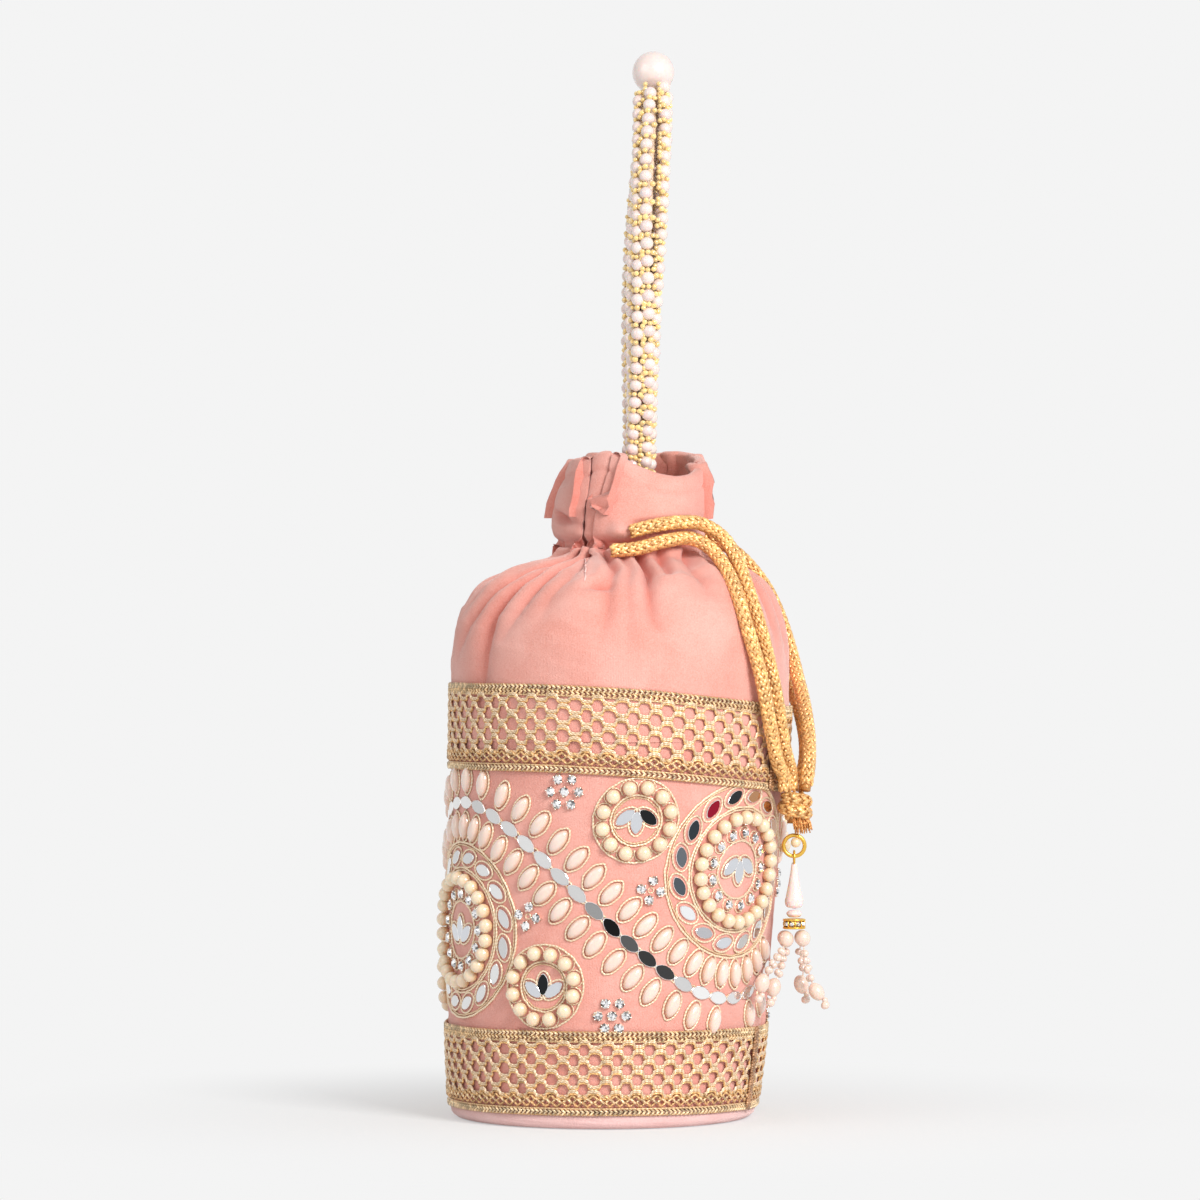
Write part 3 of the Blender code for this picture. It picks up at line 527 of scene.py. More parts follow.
def make_pile():
    """Shader group: velvet pile. Worn and brushed patches, ribs of the warp, and the tips' relief; the noise of the
    relief also paints the tips paler and the pile between them darker, as painted shade.
    """
    group = bpy.data.node_groups.new("velvet_pile", "ShaderNodeTree")
    ribs_in = group.interface.new_socket("Rib Pitch", in_out="INPUT", socket_type="NodeSocketFloat")
    ribs_in.default_value = 0.00045
    depth_in = group.interface.new_socket("Rib Depth", in_out="INPUT", socket_type="NodeSocketFloat")
    depth_in.default_value = 0.5
    group.interface.new_socket("Brushed And Shaded", in_out="OUTPUT", socket_type="NodeSocketFloat")
    group.interface.new_socket("Height", in_out="OUTPUT", socket_type="NodeSocketFloat")
    nodes, links = group.nodes, group.links
    start, end = nodes.new("NodeGroupInput"), nodes.new("NodeGroupOutput")
    where = nodes.new("ShaderNodeTexCoord")
    tips = nodes.new("ShaderNodeTexNoise")
    tips.inputs["Scale"].default_value = 2600.0
    tips.inputs["Detail"].default_value = 3.0
    tips.inputs["Roughness"].default_value = 0.65
    links.new(where.outputs["Object"], tips.inputs["Vector"])
    patches = nodes.new("ShaderNodeTexNoise")
    patches.inputs["Scale"].default_value = 70.0
    patches.inputs["Detail"].default_value = 4.0
    patches.inputs["Distortion"].default_value = 0.4
    links.new(where.outputs["Object"], patches.inputs["Vector"])
    place = nodes.new("ShaderNodeUVMap")
    place.uv_map = "cloth"
    split = nodes.new("ShaderNodeSeparateXYZ")
    links.new(place.outputs["UV"], split.inputs["Vector"])
    count = nodes.new("ShaderNodeMath")
    count.operation = "DIVIDE"
    links.new(split.outputs["X"], count.inputs[0])
    links.new(start.outputs["Rib Pitch"], count.inputs[1])
    rib = nodes.new("ShaderNodeMath")
    rib.operation = "PINGPONG"
    rib.inputs[1].default_value = 0.5
    links.new(count.outputs["Value"], rib.inputs[0])
    rib_depth = nodes.new("ShaderNodeMath")
    rib_depth.operation = "MULTIPLY"
    links.new(rib.outputs["Value"], rib_depth.inputs[0])
    links.new(start.outputs["Rib Depth"], rib_depth.inputs[1])
    height = nodes.new("ShaderNodeMath")
    height.operation = "ADD"
    links.new(rib_depth.outputs["Value"], height.inputs[0])
    links.new(tips.outputs["Fac"], height.inputs[1])
    links.new(height.outputs["Value"], end.inputs["Height"])
    spread = nodes.new("ShaderNodeMapRange")
    spread.inputs["From Min"].default_value = 0.3
    spread.inputs["From Max"].default_value = 0.7
    links.new(patches.outputs["Fac"], spread.inputs["Value"])
    fine = nodes.new("ShaderNodeMapRange")
    fine.inputs["From Min"].default_value = 0.32
    fine.inputs["From Max"].default_value = 0.74
    links.new(tips.outputs["Fac"], fine.inputs["Value"])
    both = nodes.new("ShaderNodeMix")
    both.data_type = "FLOAT"
    both.inputs["Factor"].default_value = 0.58
    links.new(spread.outputs["Result"], both.inputs["A"])
    links.new(fine.outputs["Result"], both.inputs["B"])
    links.new(both.outputs["Result"], end.inputs["Brushed And Shaded"])
    return group


velvet_pile = make_pile()


def velvet_material(name, deep, pale, rib_depth):
    """Velvet: paler in brushed patches, with painted shade darker down into the pile and paler on its tips, a sheen off
    the tips, and the cloth's tone over all.
    """
    material, nodes, links, shader = nodes_of(name)
    pile = nodes.new("ShaderNodeGroup")
    pile.node_tree = velvet_pile
    pile.inputs["Rib Depth"].default_value = rib_depth
    colours = nodes.new("ShaderNodeMix")
    colours.data_type = "RGBA"
    colours.inputs["A"].default_value = (*deep, 1.0)
    colours.inputs["B"].default_value = (*pale, 1.0)
    links.new(pile.outputs["Brushed And Shaded"], colours.inputs["Factor"])
    tone = nodes.new("ShaderNodeVertexColor")
    tone.layer_name = "tone"
    tinted = nodes.new("ShaderNodeMix")
    tinted.data_type = "RGBA"
    tinted.blend_type = "MULTIPLY"
    tinted.inputs["Factor"].default_value = 1.0
    links.new(colours.outputs["Result"], tinted.inputs["A"])
    links.new(tone.outputs["Color"], tinted.inputs["B"])
    links.new(tinted.outputs["Result"], shader.inputs["Base Color"])
    bump = nodes.new("ShaderNodeBump")
    bump.inputs["Strength"].default_value = 0.7
    bump.inputs["Distance"].default_value = 0.00035
    links.new(pile.outputs["Height"], bump.inputs["Height"])
    links.new(bump.outputs["Normal"], shader.inputs["Normal"])
    shader.inputs["Roughness"].default_value = 0.92
    shader.inputs["Specular IOR Level"].default_value = 0.15
    shader.inputs["Sheen Weight"].default_value = 0.75
    shader.inputs["Sheen Roughness"].default_value = 0.42
    shader.inputs["Sheen Tint"].default_value = (1.0, 0.84, 0.80, 1.0)
    return material


pale_velvet = velvet_material("pale_velvet", (0.78, 0.46, 0.44), (0.90, 0.64, 0.62), 0.2)

BASE_ROLL = [
    (0.0000, -0.0200),
    (0.0000, -0.0030),
    (0.0002, -0.0012),
    (0.0007, -0.0003),
    (0.0014, 0.0002),
    (0.0022, 0.0003),
    (0.0031, 0.0002),
    (0.0041, -0.0001),
    (0.0047, -0.0007),
    (0.0046, -0.0013),
]
turns = np.linspace(0.0, 2.0 * math.pi, 240, endpoint=False)
roll = smooth_rows(BASE_ROLL, 3)
sewn = np.stack([wall_points(turns, 0.0 * turns + height, 0.0 * turns + out) for height, out in roll])
lump = soft_waves(3, turns[None, :] * 3.0, roll[:, :1] * 900.0)
sewn[2:, :, :2] *= 1.0 + 0.0035 * lump[2:, :, None] * (roll[2:, 1] > -0.0025)[:, None, None]
sewn[:, :, 2] = np.maximum(sewn[:, :, 2], 0.0)
base_roll = cloth_grid("base_roll", sewn, 0.28, list(roll[:, 0]), pale_velvet)
work = bmesh.new()
work.from_mesh(base_roll.data)
bmesh.ops.contextual_create(work, geom=[edge for edge in work.edges if edge.is_boundary and edge.verts[0].co.z < 0.001])
work.to_mesh(base_roll.data)
work.free()
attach(base_roll, "bag")
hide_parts("base_cover")


def card_material():
    material, nodes, links, shader = nodes_of("grey_card")
    fibres = nodes.new("ShaderNodeTexNoise")
    fibres.inputs["Scale"].default_value = 900.0
    fibres.inputs["Detail"].default_value = 5.0
    colours = nodes.new("ShaderNodeMix")
    colours.data_type = "RGBA"
    colours.inputs["A"].default_value = (0.34, 0.31, 0.28, 1.0)
    colours.inputs["B"].default_value = (0.50, 0.47, 0.43, 1.0)
    links.new(fibres.outputs["Fac"], colours.inputs["Factor"])
    links.new(colours.outputs["Result"], shader.inputs["Base Color"])
    shader.inputs["Roughness"].default_value = 0.85
    return material


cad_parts["base_board"].data.materials[0] = card_material()


# The sleeve: blush velvet, embroidered flat and then sewn into a tube with one seam at the side. It is
# stretched over a stiff buckram wall, lies a little unevenly, and dips along its seam between two lips.
PATTERN_RADIUS = 0.0456
PATTERN_MIDDLE = 0.0615
SEAM = math.radians(79.5)
blush_velvet = velvet_material("blush_velvet", (0.72, 0.27, 0.21), (0.90, 0.50, 0.43), 0.35)

heights = np.linspace(0.0050, 0.1060, 102)
turns = SEAM + np.linspace(0.0, 2.0 * math.pi, 600, endpoint=False)
uneven = 0.00022 * soft_waves(5, turns[None, :] * 2.0, heights[:, None] * 260.0, 9)
from_seam = np.abs((turns - SEAM + math.pi) % (2.0 * math.pi) - math.pi)
seam_dip = -0.0007 * np.exp(-((from_seam / 0.016) ** 2))[None, :]
seam_lips = 0.0005 * np.exp(-(((from_seam - 0.045) / 0.02) ** 2))[None, :]
velvet_tube = wall_points(turns[None, :], heights[:, None], uneven + seam_dip + seam_lips)
sleeve = cloth_grid("velvet_sleeve", velvet_tube, 0.2866, list(heights), blush_velvet)
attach(sleeve, "bag")
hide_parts("embroidered_panel")


def buckram_material():
    material, nodes, links, shader = nodes_of("buckram_weave")
    weave = nodes.new("ShaderNodeTexBrick")
    weave.inputs["Scale"].default_value = 900.0
    weave.inputs["Color1"].default_value = (0.80, 0.76, 0.68, 1.0)
    weave.inputs["Color2"].default_value = (0.72, 0.68, 0.60, 1.0)
    weave.inputs["Mortar"].default_value = (0.45, 0.42, 0.36, 1.0)
    where = nodes.new("ShaderNodeTexCoord")
    links.new(where.outputs["Object"], weave.inputs["Vector"])
    links.new(weave.outputs["Color"], shader.inputs["Base Color"])
    shader.inputs["Roughness"].default_value = 0.9
    return material


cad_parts["body_stiffener"].data.materials[0] = buckram_material()


# The two bands of gold lace. Wavy lines of pale gimp, each with a glinting gold thread along it, lie one
# above another, every second one shifted by half a wave, so that eyes of velvet show between them. Below
# them runs a close chain, and a braid edges each band above and below.
LACE_SCALLOPS = 47
LACE_BANDS = {
    "upper_lace": ("upper_lace_band", 0.1082, 0.0236, (-0.069, -1.13), math.radians(62.0)),
    "lower_lace": ("lower_lace_band", 0.0153, 0.0228, (-0.005, -0.40), math.radians(66.0)),
}
LACE_LINES = 6
TOP_BRAID = 0.0028
BOTTOM_BRAID = 0.0020
CHAIN = 0.0036
gimp_gold = thread_material(
    "gimp_gold", (0.60, 0.38, 0.20), (1.0, 0.88, 0.70), 0.32, 0.25, 0.0011, 0.00012
)
LACE_STITCH = stitch_leg(5, 4)


def round_band(height, wave, outwards, fall, turns):
    """A line round the bag, at a height that may wave, following the fall of the band."""
    x = wall_points(turns, height, 0.0 * turns)[:, 0]
    level = height + fall[0] * x + fall[1] * x * x + wave
    points, normals = wall_frame(turns, level)
    return points + normals * outwards[:, None], normals


def glinting(tone, count, spread, chance, sides=5):
    """A tone for each point of a line, brighter here and there."""
    glint = 1.0 + spread * np.array([chance.uniform(-1.0, 1.0) for _ in range(count)])
    return np.repeat(glint[:, None] * np.array(tone)[None, :], sides, axis=0)


def lace_braid(bundle, chance, level, stitches, slope, tone, tall):
    """One row of slanting stitches, in pairs that point along the band."""
    shape, places, faces = LACE_STITCH
    spots = (np.arange(stitches) + chance.uniform(0.0, 1.0)) * 2.0 * math.pi / stitches
    points, normals = round_band(level, 0.00012 * np.sin(9.0 * spots), 0.0 * spots + 0.0009, slope, spots)
    ways = np.roll(points, -1, axis=0) - np.roll(points, 1, axis=0)
    ways /= np.linalg.norm(ways, axis=1)[:, None]
    for point, normal, way in zip(points, normals, ways):
        up = np.cross(normal, way)
        for side in (-1.0, 1.0):
            lean_by = math.radians(38.0 + chance.uniform(-6.0, 6.0)) * side
            along = way * math.cos(lean_by) + up * math.sin(lean_by)
            across = np.cross(normal, along)
            made = (
                point
                - up * side * 0.26 * tall
                + along * shape[:, :1] * 1.35 * tall
                + across * shape[:, 1:2] * 0.52 * tall
                + normal * shape[:, 2:] * 0.0009
            )
            bundle.add(made, faces, np.array(tone) * chance.uniform(0.5, 1.3), places)


def make_lace(name, node, middle, tall, slope, overlap):
    bundle = Bundle()
    chance = random.Random(name)
    per_wave = 12
    count = LACE_SCALLOPS * per_wave
    turns = np.arange(count) * 2.0 * math.pi / count
    wander = soft_waves(len(name), turns, 0.0 * turns, 9, 30.0)
    lean = soft_waves(11, turns, 0.0 * turns, 6, 12.0)
    top = middle + tall / 2.0
    open_top = top - TOP_BRAID - 0.0008
    pitch = (tall - TOP_BRAID - BOTTOM_BRAID - CHAIN - 0.0008) / (LACE_LINES - 1)
    for line in range(LACE_LINES):
        base = open_top - pitch * line
        phase = LACE_SCALLOPS * turns + math.pi * (line % 2) + 0.6 * wander + 0.35 * lean
        crest = np.cos(phase)
        flat_crest = np.sign(crest) * np.abs(crest) ** 0.85
        spots = turns + 0.42 * np.sin(2.0 * phase) / LACE_SCALLOPS
        reach = pitch * (0.27 if line in (0, LACE_LINES - 1) else 0.34)
        wave = reach * flat_crest * (1.0 + 0.16 * soft_waves(line + 20, turns, 0.0 * turns, 6, 25.0))
        wave = wave + 0.00016 * wander + 0.00012 * soft_waves(line + 40, turns, 0.0 * turns, 8, 60.0)
        lift = 0.00085 + 0.00028 * np.sin(phase + 0.6)
        strands = (
            (0.00050, 0.00029, 5, (1.0, 0.95, 0.88), 0.14),
            (0.00005, 0.00031, 5, (0.90, 0.82, 0.72), 0.14),
            (-0.00044, 0.00030, 4, (0.98, 0.74, 0.42), 0.42),
        )
        for side, radius, sides, tone, spread in strands:
            points, normals = round_band(base, wave + side, lift - 0.2 * abs(side), slope, spots)
            tones = glinting(tone, count, spread, chance, sides)
            bundle.tube(points, radius, sides, closed=True, tone=tones, up=normals)
        # Thin brown ties cross the narrow ends of the eyes: real threads, toned dark as painted shade where the lines
        # meet.
        for scallop in range(LACE_SCALLOPS):
            spot = (2.0 * math.pi * (scallop + 0.5) + math.pi * (line % 2)) / LACE_SCALLOPS
            spot -= 0.6 * float(np.interp(spot % (2.0 * math.pi), turns, wander)) / LACE_SCALLOPS
            for offset in (-0.014, 0.012):
                tie = spot + offset + np.linspace(-0.002, 0.002, 3) * chance.uniform(-1.0, 1.0)
                rise = np.linspace(-0.5, 0.5, 3) * pitch * chance.uniform(0.55, 0.9)
                points, normals = round_band(base - 0.5 * pitch, rise, 0.0 * tie + 0.0006, slope, tie)
                tone = np.array((0.60, 0.36, 0.20)) * chance.uniform(0.6, 1.3)
                bundle.tube(points, 0.00015, 4, tone=tone, up=normals)
    chain_top = open_top - pitch * (LACE_LINES - 1)
    for row in range(3):
        phase = 2.0 * LACE_SCALLOPS * turns + math.pi * (row % 2) + 0.8 * wander
        points, normals = round_band(
            chain_top - 0.0009 * (row + 0.9), 0.00052 * np.cos(phase), 0.0009 + 0.0002 * np.sin(phase), slope, turns
        )
        tone = ((0.86, 0.66, 0.42), (1.0, 0.88, 0.70), (0.80, 0.58, 0.36))[row]
        bundle.tube(points, 0.00038, 4, closed=True, tone=glinting(tone, count, 0.4, chance, 4), up=normals)
    bottom = middle - tall / 2.0
    lace_braid(bundle, chance, top - 0.00065, 210, slope, (1.0, 0.92, 0.76), 0.00120)
    lace_braid(bundle, chance, top - 0.00195, 210, slope, (0.98, 0.84, 0.62), 0.00120)
    lace_braid(bundle, chance, bottom + 0.00085, 210, slope, (1.0, 0.92, 0.76), 0.00130)
    ring = np.arange(300) * 2.0 * math.pi / 300
    for level, tone in (
        (top - 0.0001, (0.75, 0.55, 0.33)),
        (top - 0.0013, (0.55, 0.36, 0.20)),
        (top - 0.0027, (0.95, 0.80, 0.60)),
        (bottom + 0.0001, (0.75, 0.55, 0.33)),
        (bottom + 0.0018, (0.95, 0.80, 0.60)),
    ):
        points, normals = round_band(level, 0.0 * ring, 0.0 * ring + 0.00075, slope, ring)
        bundle.tube(points, 0.00028, 4, closed=True, tone=tone, up=normals)
    for step in range(30):
        level = middle + tall * (step / 29.0 - 0.5) * 0.97
        across = overlap + np.linspace(-0.028, 0.028, 6)
        points, normals = round_band(level, 0.0003 * np.sin(90.0 * across + step), 0.0 * across + 0.0014, slope, across)
        tone = np.array((0.55, 0.36, 0.24)) * chance.uniform(0.7, 1.25)
        bundle.tube(points, 0.00042, 5, tone=tone, up=normals)
    band = bundle.piece(name, gimp_gold, "bag", "lace")
    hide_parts(node)
    return band


lace_pieces = [make_lace(name, *values) for name, values in LACE_BANDS.items()]

# The embroidery, worked flat on the sleeve: a garland of mirrors that waves round the bag between two rows
# of long pearls, a medallion in each of its hollows, small medallions beside it, and crystal flowers.
# Couched cord in pale gold outlines every motif.
FIRST_CREST = math.radians(-64.5)
HALF_WAVE = math.radians(112.7)
WAVE_HEIGHT = 0.0267
MIRROR_PITCH = 0.0067
NAVETTE_OFFSET = 0.0065
LARGE_MEDALLION_DROP = 0.0086
SMALL_MEDALLION_PLACE = (math.radians(41.5), 0.0227)
zari_cord = thread_material(
    "zari_cord", (0.74, 0.46, 0.24), (1.0, 0.88, 0.68), 0.34, 0.25, 0.0010, 0.00012
)

cords = Bundle()
mirrors = Bundle()
long_pearls = Bundle()
round_pearls = Bundle()
crystals = Bundle()
crystal_cups = Bundle()
hand = random.Random(19)


def lace_edge(across, which):
    """The height of a lace band's edge next to the pattern, above the pattern's middle."""
    name, side = (("lower_lace", 1.0), ("upper_lace", -1.0))[which]
    _, middle, tall, fall, _ = LACE_BANDS[name]
    x = wall_points(np.asarray(across, float) / PATTERN_RADIUS, middle + 0.0 * np.asarray(across))[..., 0]
    return middle + side * tall / 2.0 + fall[0] * x + fall[1] * x * x - PATTERN_MIDDLE


def is_open(across, height, margin=0.0):
    """Whether a place of the pattern lies between the lace bands and clear of the seam."""
    across = (across / PATTERN_RADIUS - SEAM) % (2.0 * math.pi)
    clear = min(across, 2.0 * math.pi - across) * PATTERN_RADIUS > 0.0010 + 0.6 * margin
    flat = (across + SEAM) * PATTERN_RADIUS
    return clear and lace_edge(flat, 0) + margin < height < lace_edge(flat, 1) - margin


def on_cloth(flat, outwards):
    """Flat places of the pattern, across and up, laid on the wall, and the directions out of it."""
    flat = np.asarray(flat, float)
    points, normals = wall_frame(flat[:, 0] / PATTERN_RADIUS, PATTERN_MIDDLE + flat[:, 1])
    return points + normals * (np.asarray(outwards, float) + np.zeros(len(flat)))[:, None], normals


def couch(flat, radius=0.00030, closed=True, tone=(1.0, 1.0, 1.0)):
    """Lays a cord on the cloth along a flat line, and leaves out what the lace and the seam cover."""
    flat = np.asarray(flat, float)
    shown = [is_open(across, height, -0.0006) for across, height in flat]
    glint = hand.uniform(0.9, 1.08)
    tone = np.array(tone) * glint
    if all(shown):
        points, normals = on_cloth(flat, radius * 0.8)
        cords.tube(points, radius, 5, closed=closed, tone=tone, up=normals)
        return
    if closed:
        start = shown.index(False)
        flat = np.roll(flat, -start, axis=0)
        shown = shown[start:] + shown[:start]
    run = []
    for place, seen in list(zip(flat, shown)) + [(None, False)]:
        if seen:
            run.append(place)
            continue
        if len(run) > 2:
            points, normals = on_cloth(run, radius * 0.8)
            cords.tube(points, radius, 5, tone=tone, up=normals)
        run = []


def turned_about(shape, across, height, lean):
    """A flat shape, long side along X, turned by its lean and moved to its place."""
    cos, sin = math.cos(lean), math.sin(lean)
    return np.stack(
        [across + shape[:, 0] * cos - shape[:, 1] * sin, height + shape[:, 0] * sin + shape[:, 1] * cos],
        axis=1,
    )


def pointed_oval(length, width, count, point=0.35):
    """The outline of a navette: an oval with a point at each end of its length."""
    turn = (np.arange(count) + 0.0) * 2.0 * math.pi / count
    sine = np.sin(turn)
    return np.stack([0.5 * length * np.cos(turn), 0.5 * width * np.sign(sine) * np.abs(sine) ** (1.0 + point)], axis=1)


def raised(bundle, outline, across, height, lean, layers, tones, rim=None):
    """A stone from rings of its outline: each layer is a share of the outline and a height."""
    count = len(outline)
    points, tone = [], []
    for (share, lift), colour in zip(layers, tones):
        flat = turned_about(outline * share, across, height, lean)
        ring, _ = on_cloth(flat, lift)
        points.append(ring)
        tone.append(np.tile(colour, (count, 1)))
    faces = []
    for i in range(len(layers) - 1):
        for k in range(count):
            m = (k + 1) % count
            faces.append((i * count + k, i * count + m, (i + 1) * count + m, (i + 1) * count + k))
    faces.append(tuple((len(layers) - 1) * count + k for k in range(count)))
    bundle.add(np.concatenate(points), faces, np.concatenate(tone))


MIRROR_OUTLINE = pointed_oval(0.0067, 0.0036, 14, 0.3)
MIRROR_LAYERS = [(1.0, -0.0002), (1.0, 0.00045), (0.98, 0.00062), (0.93, 0.00070), (0.91, 0.00062)]


def set_mirror(across, height, lean, tone, size=1.0):
    if not is_open(across, height, 0.0014):
        return
    # The mirror's face takes its tone, a painted reflection.
    tone = np.array(tone, float)
    rim = np.array((0.80, 0.78, 0.76))
    tones = [rim * 0.8, rim, np.array((1.0, 0.99, 0.98)), np.array((0.95, 0.95, 0.96)), tone]
    raised(mirrors, MIRROR_OUTLINE * size, across, height, lean, MIRROR_LAYERS, tones)
    flat = turned_about(MIRROR_OUTLINE * size * 0.91, across, height, lean)
    ring, normals = on_cloth(flat, 0.00068)
    mirrors.add(ring, [tuple(range(len(ring)))], tone)


NAVETTE_OUTLINE = pointed_oval(0.0072, 0.0038, 18, 0.14)
NAVETTE_LAYERS = [
    (1.00, -0.0002),
    (1.00, 0.0004),
    (0.96, 0.0009),
    (0.86, 0.00135),
    (0.70, 0.00168),
    (0.50, 0.00188),
    (0.28, 0.00198),
    (0.08, 0.00202),
]
# Long pearls are painted darker and warmer towards their edges, as painted shade and sheen, and pale on top.
EDGE_SHADE = np.array((0.86, 0.60, 0.42))
PEARL_TONE = np.array((1.0, 1.0, 1.0))


def set_long_pearl(across, height, lean):
    if not is_open(across, height, 0.0022):
        return
    warm = hand.uniform(0.0, 1.0)
    light = PEARL_TONE * (1.0 - 0.03 * warm) - np.array((0.0, 0.02, 0.04)) * warm
    shares = (0.0, 0.25, 0.55, 0.80, 0.93, 1.0, 1.0, 1.0)
    tones = [EDGE_SHADE * (1.0 - share) + light * share for share in shares]
    raised(long_pearls, NAVETTE_OUTLINE, across, height, lean, NAVETTE_LAYERS, tones)
    loop = turned_about(pointed_oval(0.0086, 0.0048, 22, 0.16), across, height, lean)
    couch(loop + np.array([[hand.gauss(0.0, 0.00007), hand.gauss(0.0, 0.00007)] for _ in loop]), 0.00031)


def ball_shape(columns, rows):
    work = bmesh.new()
    bmesh.ops.create_uvsphere(work, u_segments=columns, v_segments=rows, radius=1.0)
    points = np.array([vertex.co for vertex in work.verts])
    faces = [tuple(vertex.index for vertex in face.verts) for face in work.faces]
    work.free()
    return points, faces


PEARL_BALL = ball_shape(14, 9)
SMALL_BALL = ball_shape(8, 5)


def set_round_pearl(across, height, width=0.0040, margin=0.0017):
    if not is_open(across, height, margin):
        return
    centre, normals = on_cloth([(across, height)], width * 0.36)
    points, faces = PEARL_BALL
    warm = hand.uniform(0.93, 1.0)
    rows = points @ normals[0]
    shade = np.clip(0.55 + 0.9 * rows, 0.0, 1.0)[:, None]
    low = np.array((0.90, 0.66, 0.44))
    tone = low * (1.0 - shade) + np.array((1.0, warm, warm * 0.97)) * shade
    round_pearls.add(centre[0] + points * width / 2.0, faces, tone)
    holes = turned_about(pointed_oval(width * 1.22, width * 1.22, 12, -0.0), across, height, 0.0)
    return holes


def set_crystal(across, height, width=0.00285):
    """A cut crystal in a four-claw cup: a table, a crown of facets and a girdle."""
    if not is_open(across, height, 0.0007):
        return
    centre, normals = on_cloth([(across, height)], 0.0)
    normal = normals[0]
    side = np.cross((0.0, 0.0, 1.0), normal)
    up = np.cross(normal, side)
    turn = hand.uniform(0.0, 1.0)

    def at(share, angle, lift):
        angle = angle + turn
        flat = side * math.cos(angle) + up * math.sin(angle)
        return centre[0] + flat * share * width / 2.0 + normal * lift

    sides = 8
    step = 2.0 * math.pi / sides
    table = [at(0.52, i * step, 0.00150) for i in range(sides)]
    girdle = [at(1.0, (i + 0.5) * step, 0.00085) for i in range(sides)]
    foot = [at(0.9, (i + 0.5) * step, 0.0) for i in range(sides)]
    shades = (0.16, 0.45, 0.75, 0.95, 1.0, 1.0, 0.6, 0.3)

    def facet(corners, tone):
        crystals.add(np.array(corners), [tuple(range(len(corners)))], np.array((tone, tone, tone * 1.02)))

    middle = at(0.0, 0.0, 0.00150)
    for i in range(sides):
        j = (i + 1) % sides
        facet((table[i], girdle[i], table[j]), hand.choice(shades))
        facet((table[j], girdle[i], girdle[j]), hand.choice(shades))
        facet((middle, table[i], table[j]), hand.choice((0.35, 0.8, 1.0, 1.0)))
        crystal_cups.add(np.array((girdle[i], foot[i], foot[j], girdle[j])), [(0, 1, 2, 3)], (1.0, 0.92, 0.8))
    for i in range(4):
        claw = np.array([at(0.98, (2 * i + 0.5) * step, z) for z in (0.0, 0.0007)] + [at(0.86, (2 * i + 0.5) * step, 0.0012)])
        crystal_cups.tube(claw, 0.00022, 5, tone=(1.0, 0.92, 0.8), up=normal)


def wave_at(angle):
    phase = math.pi * (angle - FIRST_CREST) / HALF_WAVE
    slope = -WAVE_HEIGHT * math.sin(phase) * math.pi / (HALF_WAVE * PATTERN_RADIUS)
    return WAVE_HEIGHT * math.cos(phase), slope


# Painted reflections: the tone that each of the garland's mirrors shows from the front, from the left edge of the bag
# to the seam.
GARLAND_REFLECTIONS = [0.80, 0.80, 0.80, 0.80, 0.72, 0.62, 0.70, 0.72, 0.80, 0.76, 0.70, 0.36, 0.012, 0.12, 0.05, 0.06]
across = (SEAM - 2.0 * math.pi) * PATTERN_RADIUS
number = 0
last_side = {}
while across < SEAM * PATTERN_RADIUS:
    angle = across / PATTERN_RADIUS
    height, slope = wave_at(angle)
    lean = math.atan(slope)
    # Each mirror's tone is a painted reflection: listed for those seen from the front, at random further round.
    if angle > math.radians(-90.0):
        front = round((angle - math.radians(-88.0)) * PATTERN_RADIUS / 0.0058)
        tone = GARLAND_REFLECTIONS[front] if 0 <= front < len(GARLAND_REFLECTIONS) else hand.choice((0.95, 0.9, 0.8, 0.7))
    else:
        tone = hand.choice((0.8, 0.7, 0.85, 0.6, 0.4, 0.9))
    set_mirror(across, height, lean + hand.gauss(0.0, 0.05), np.array((1.0, 0.995, 0.99)) * tone)
    for side in (-1.0, 1.0):
        set_long_pearl(
            across - side * NAVETTE_OFFSET * math.sin(lean) + hand.gauss(0.0, 0.00012),
            height + side * NAVETTE_OFFSET * math.cos(lean) + hand.gauss(0.0, 0.00012),
            lean + math.radians(90.0) + hand.gauss(0.0, 0.05),
        )
    across += MIRROR_PITCH * math.cos(lean)
    number += 1

steps = np.linspace(SEAM - 2.0 * math.pi, SEAM, 700)
stem = np.array([(angle * PATTERN_RADIUS, wave_at(angle)[0] + 0.0011 * math.sin(angle * 43.0)) for angle in steps])
couch(stem, 0.00026, closed=False)
stem = np.array([(angle * PATTERN_RADIUS, wave_at(angle)[0] - 0.0011 * math.sin(angle * 43.0)) for angle in steps])
couch(stem, 0.00026, closed=False, tone=(0.95, 0.88, 0.8))


def ring_line(across, height, radius, count=72, wobble=0.00008):
    turn = np.arange(count) * 2.0 * math.pi / count
    reach = radius + np.array([hand.gauss(0.0, wobble) for _ in turn])
    return np.stack([across + reach * np.sin(turn), height + reach * np.cos(turn)], axis=1)


def leaf(across, height, lean, tone, size=1.0, cell=(0.0086, 0.0052)):
    """A mirror leaf in its own cell of couched cord."""
    set_mirror(across, height, lean, tone, size)
    couch(turned_about(pointed_oval(cell[0], cell[1], 22, 0.1), across, height, lean), 0.00030)


# Painted reflections: the tone that each leaf of the medallion to the right of the front shows, from its top round to
# the left.
LEAF_REFLECTIONS = [
    (0.03, 0.035, 0.04),
    (0.35, 0.012, 0.035),
    (0.04, 0.05, 0.06),
    (0.16, 0.18, 0.20),
    (0.10, 0.12, 0.14),
    (0.93, 0.94, 0.95),
    (0.55, 0.55, 0.58),
    (0.72, 0.74, 0.78),
    (0.62, 0.60, 0.58),
    (0.75, 0.74, 0.74),
]


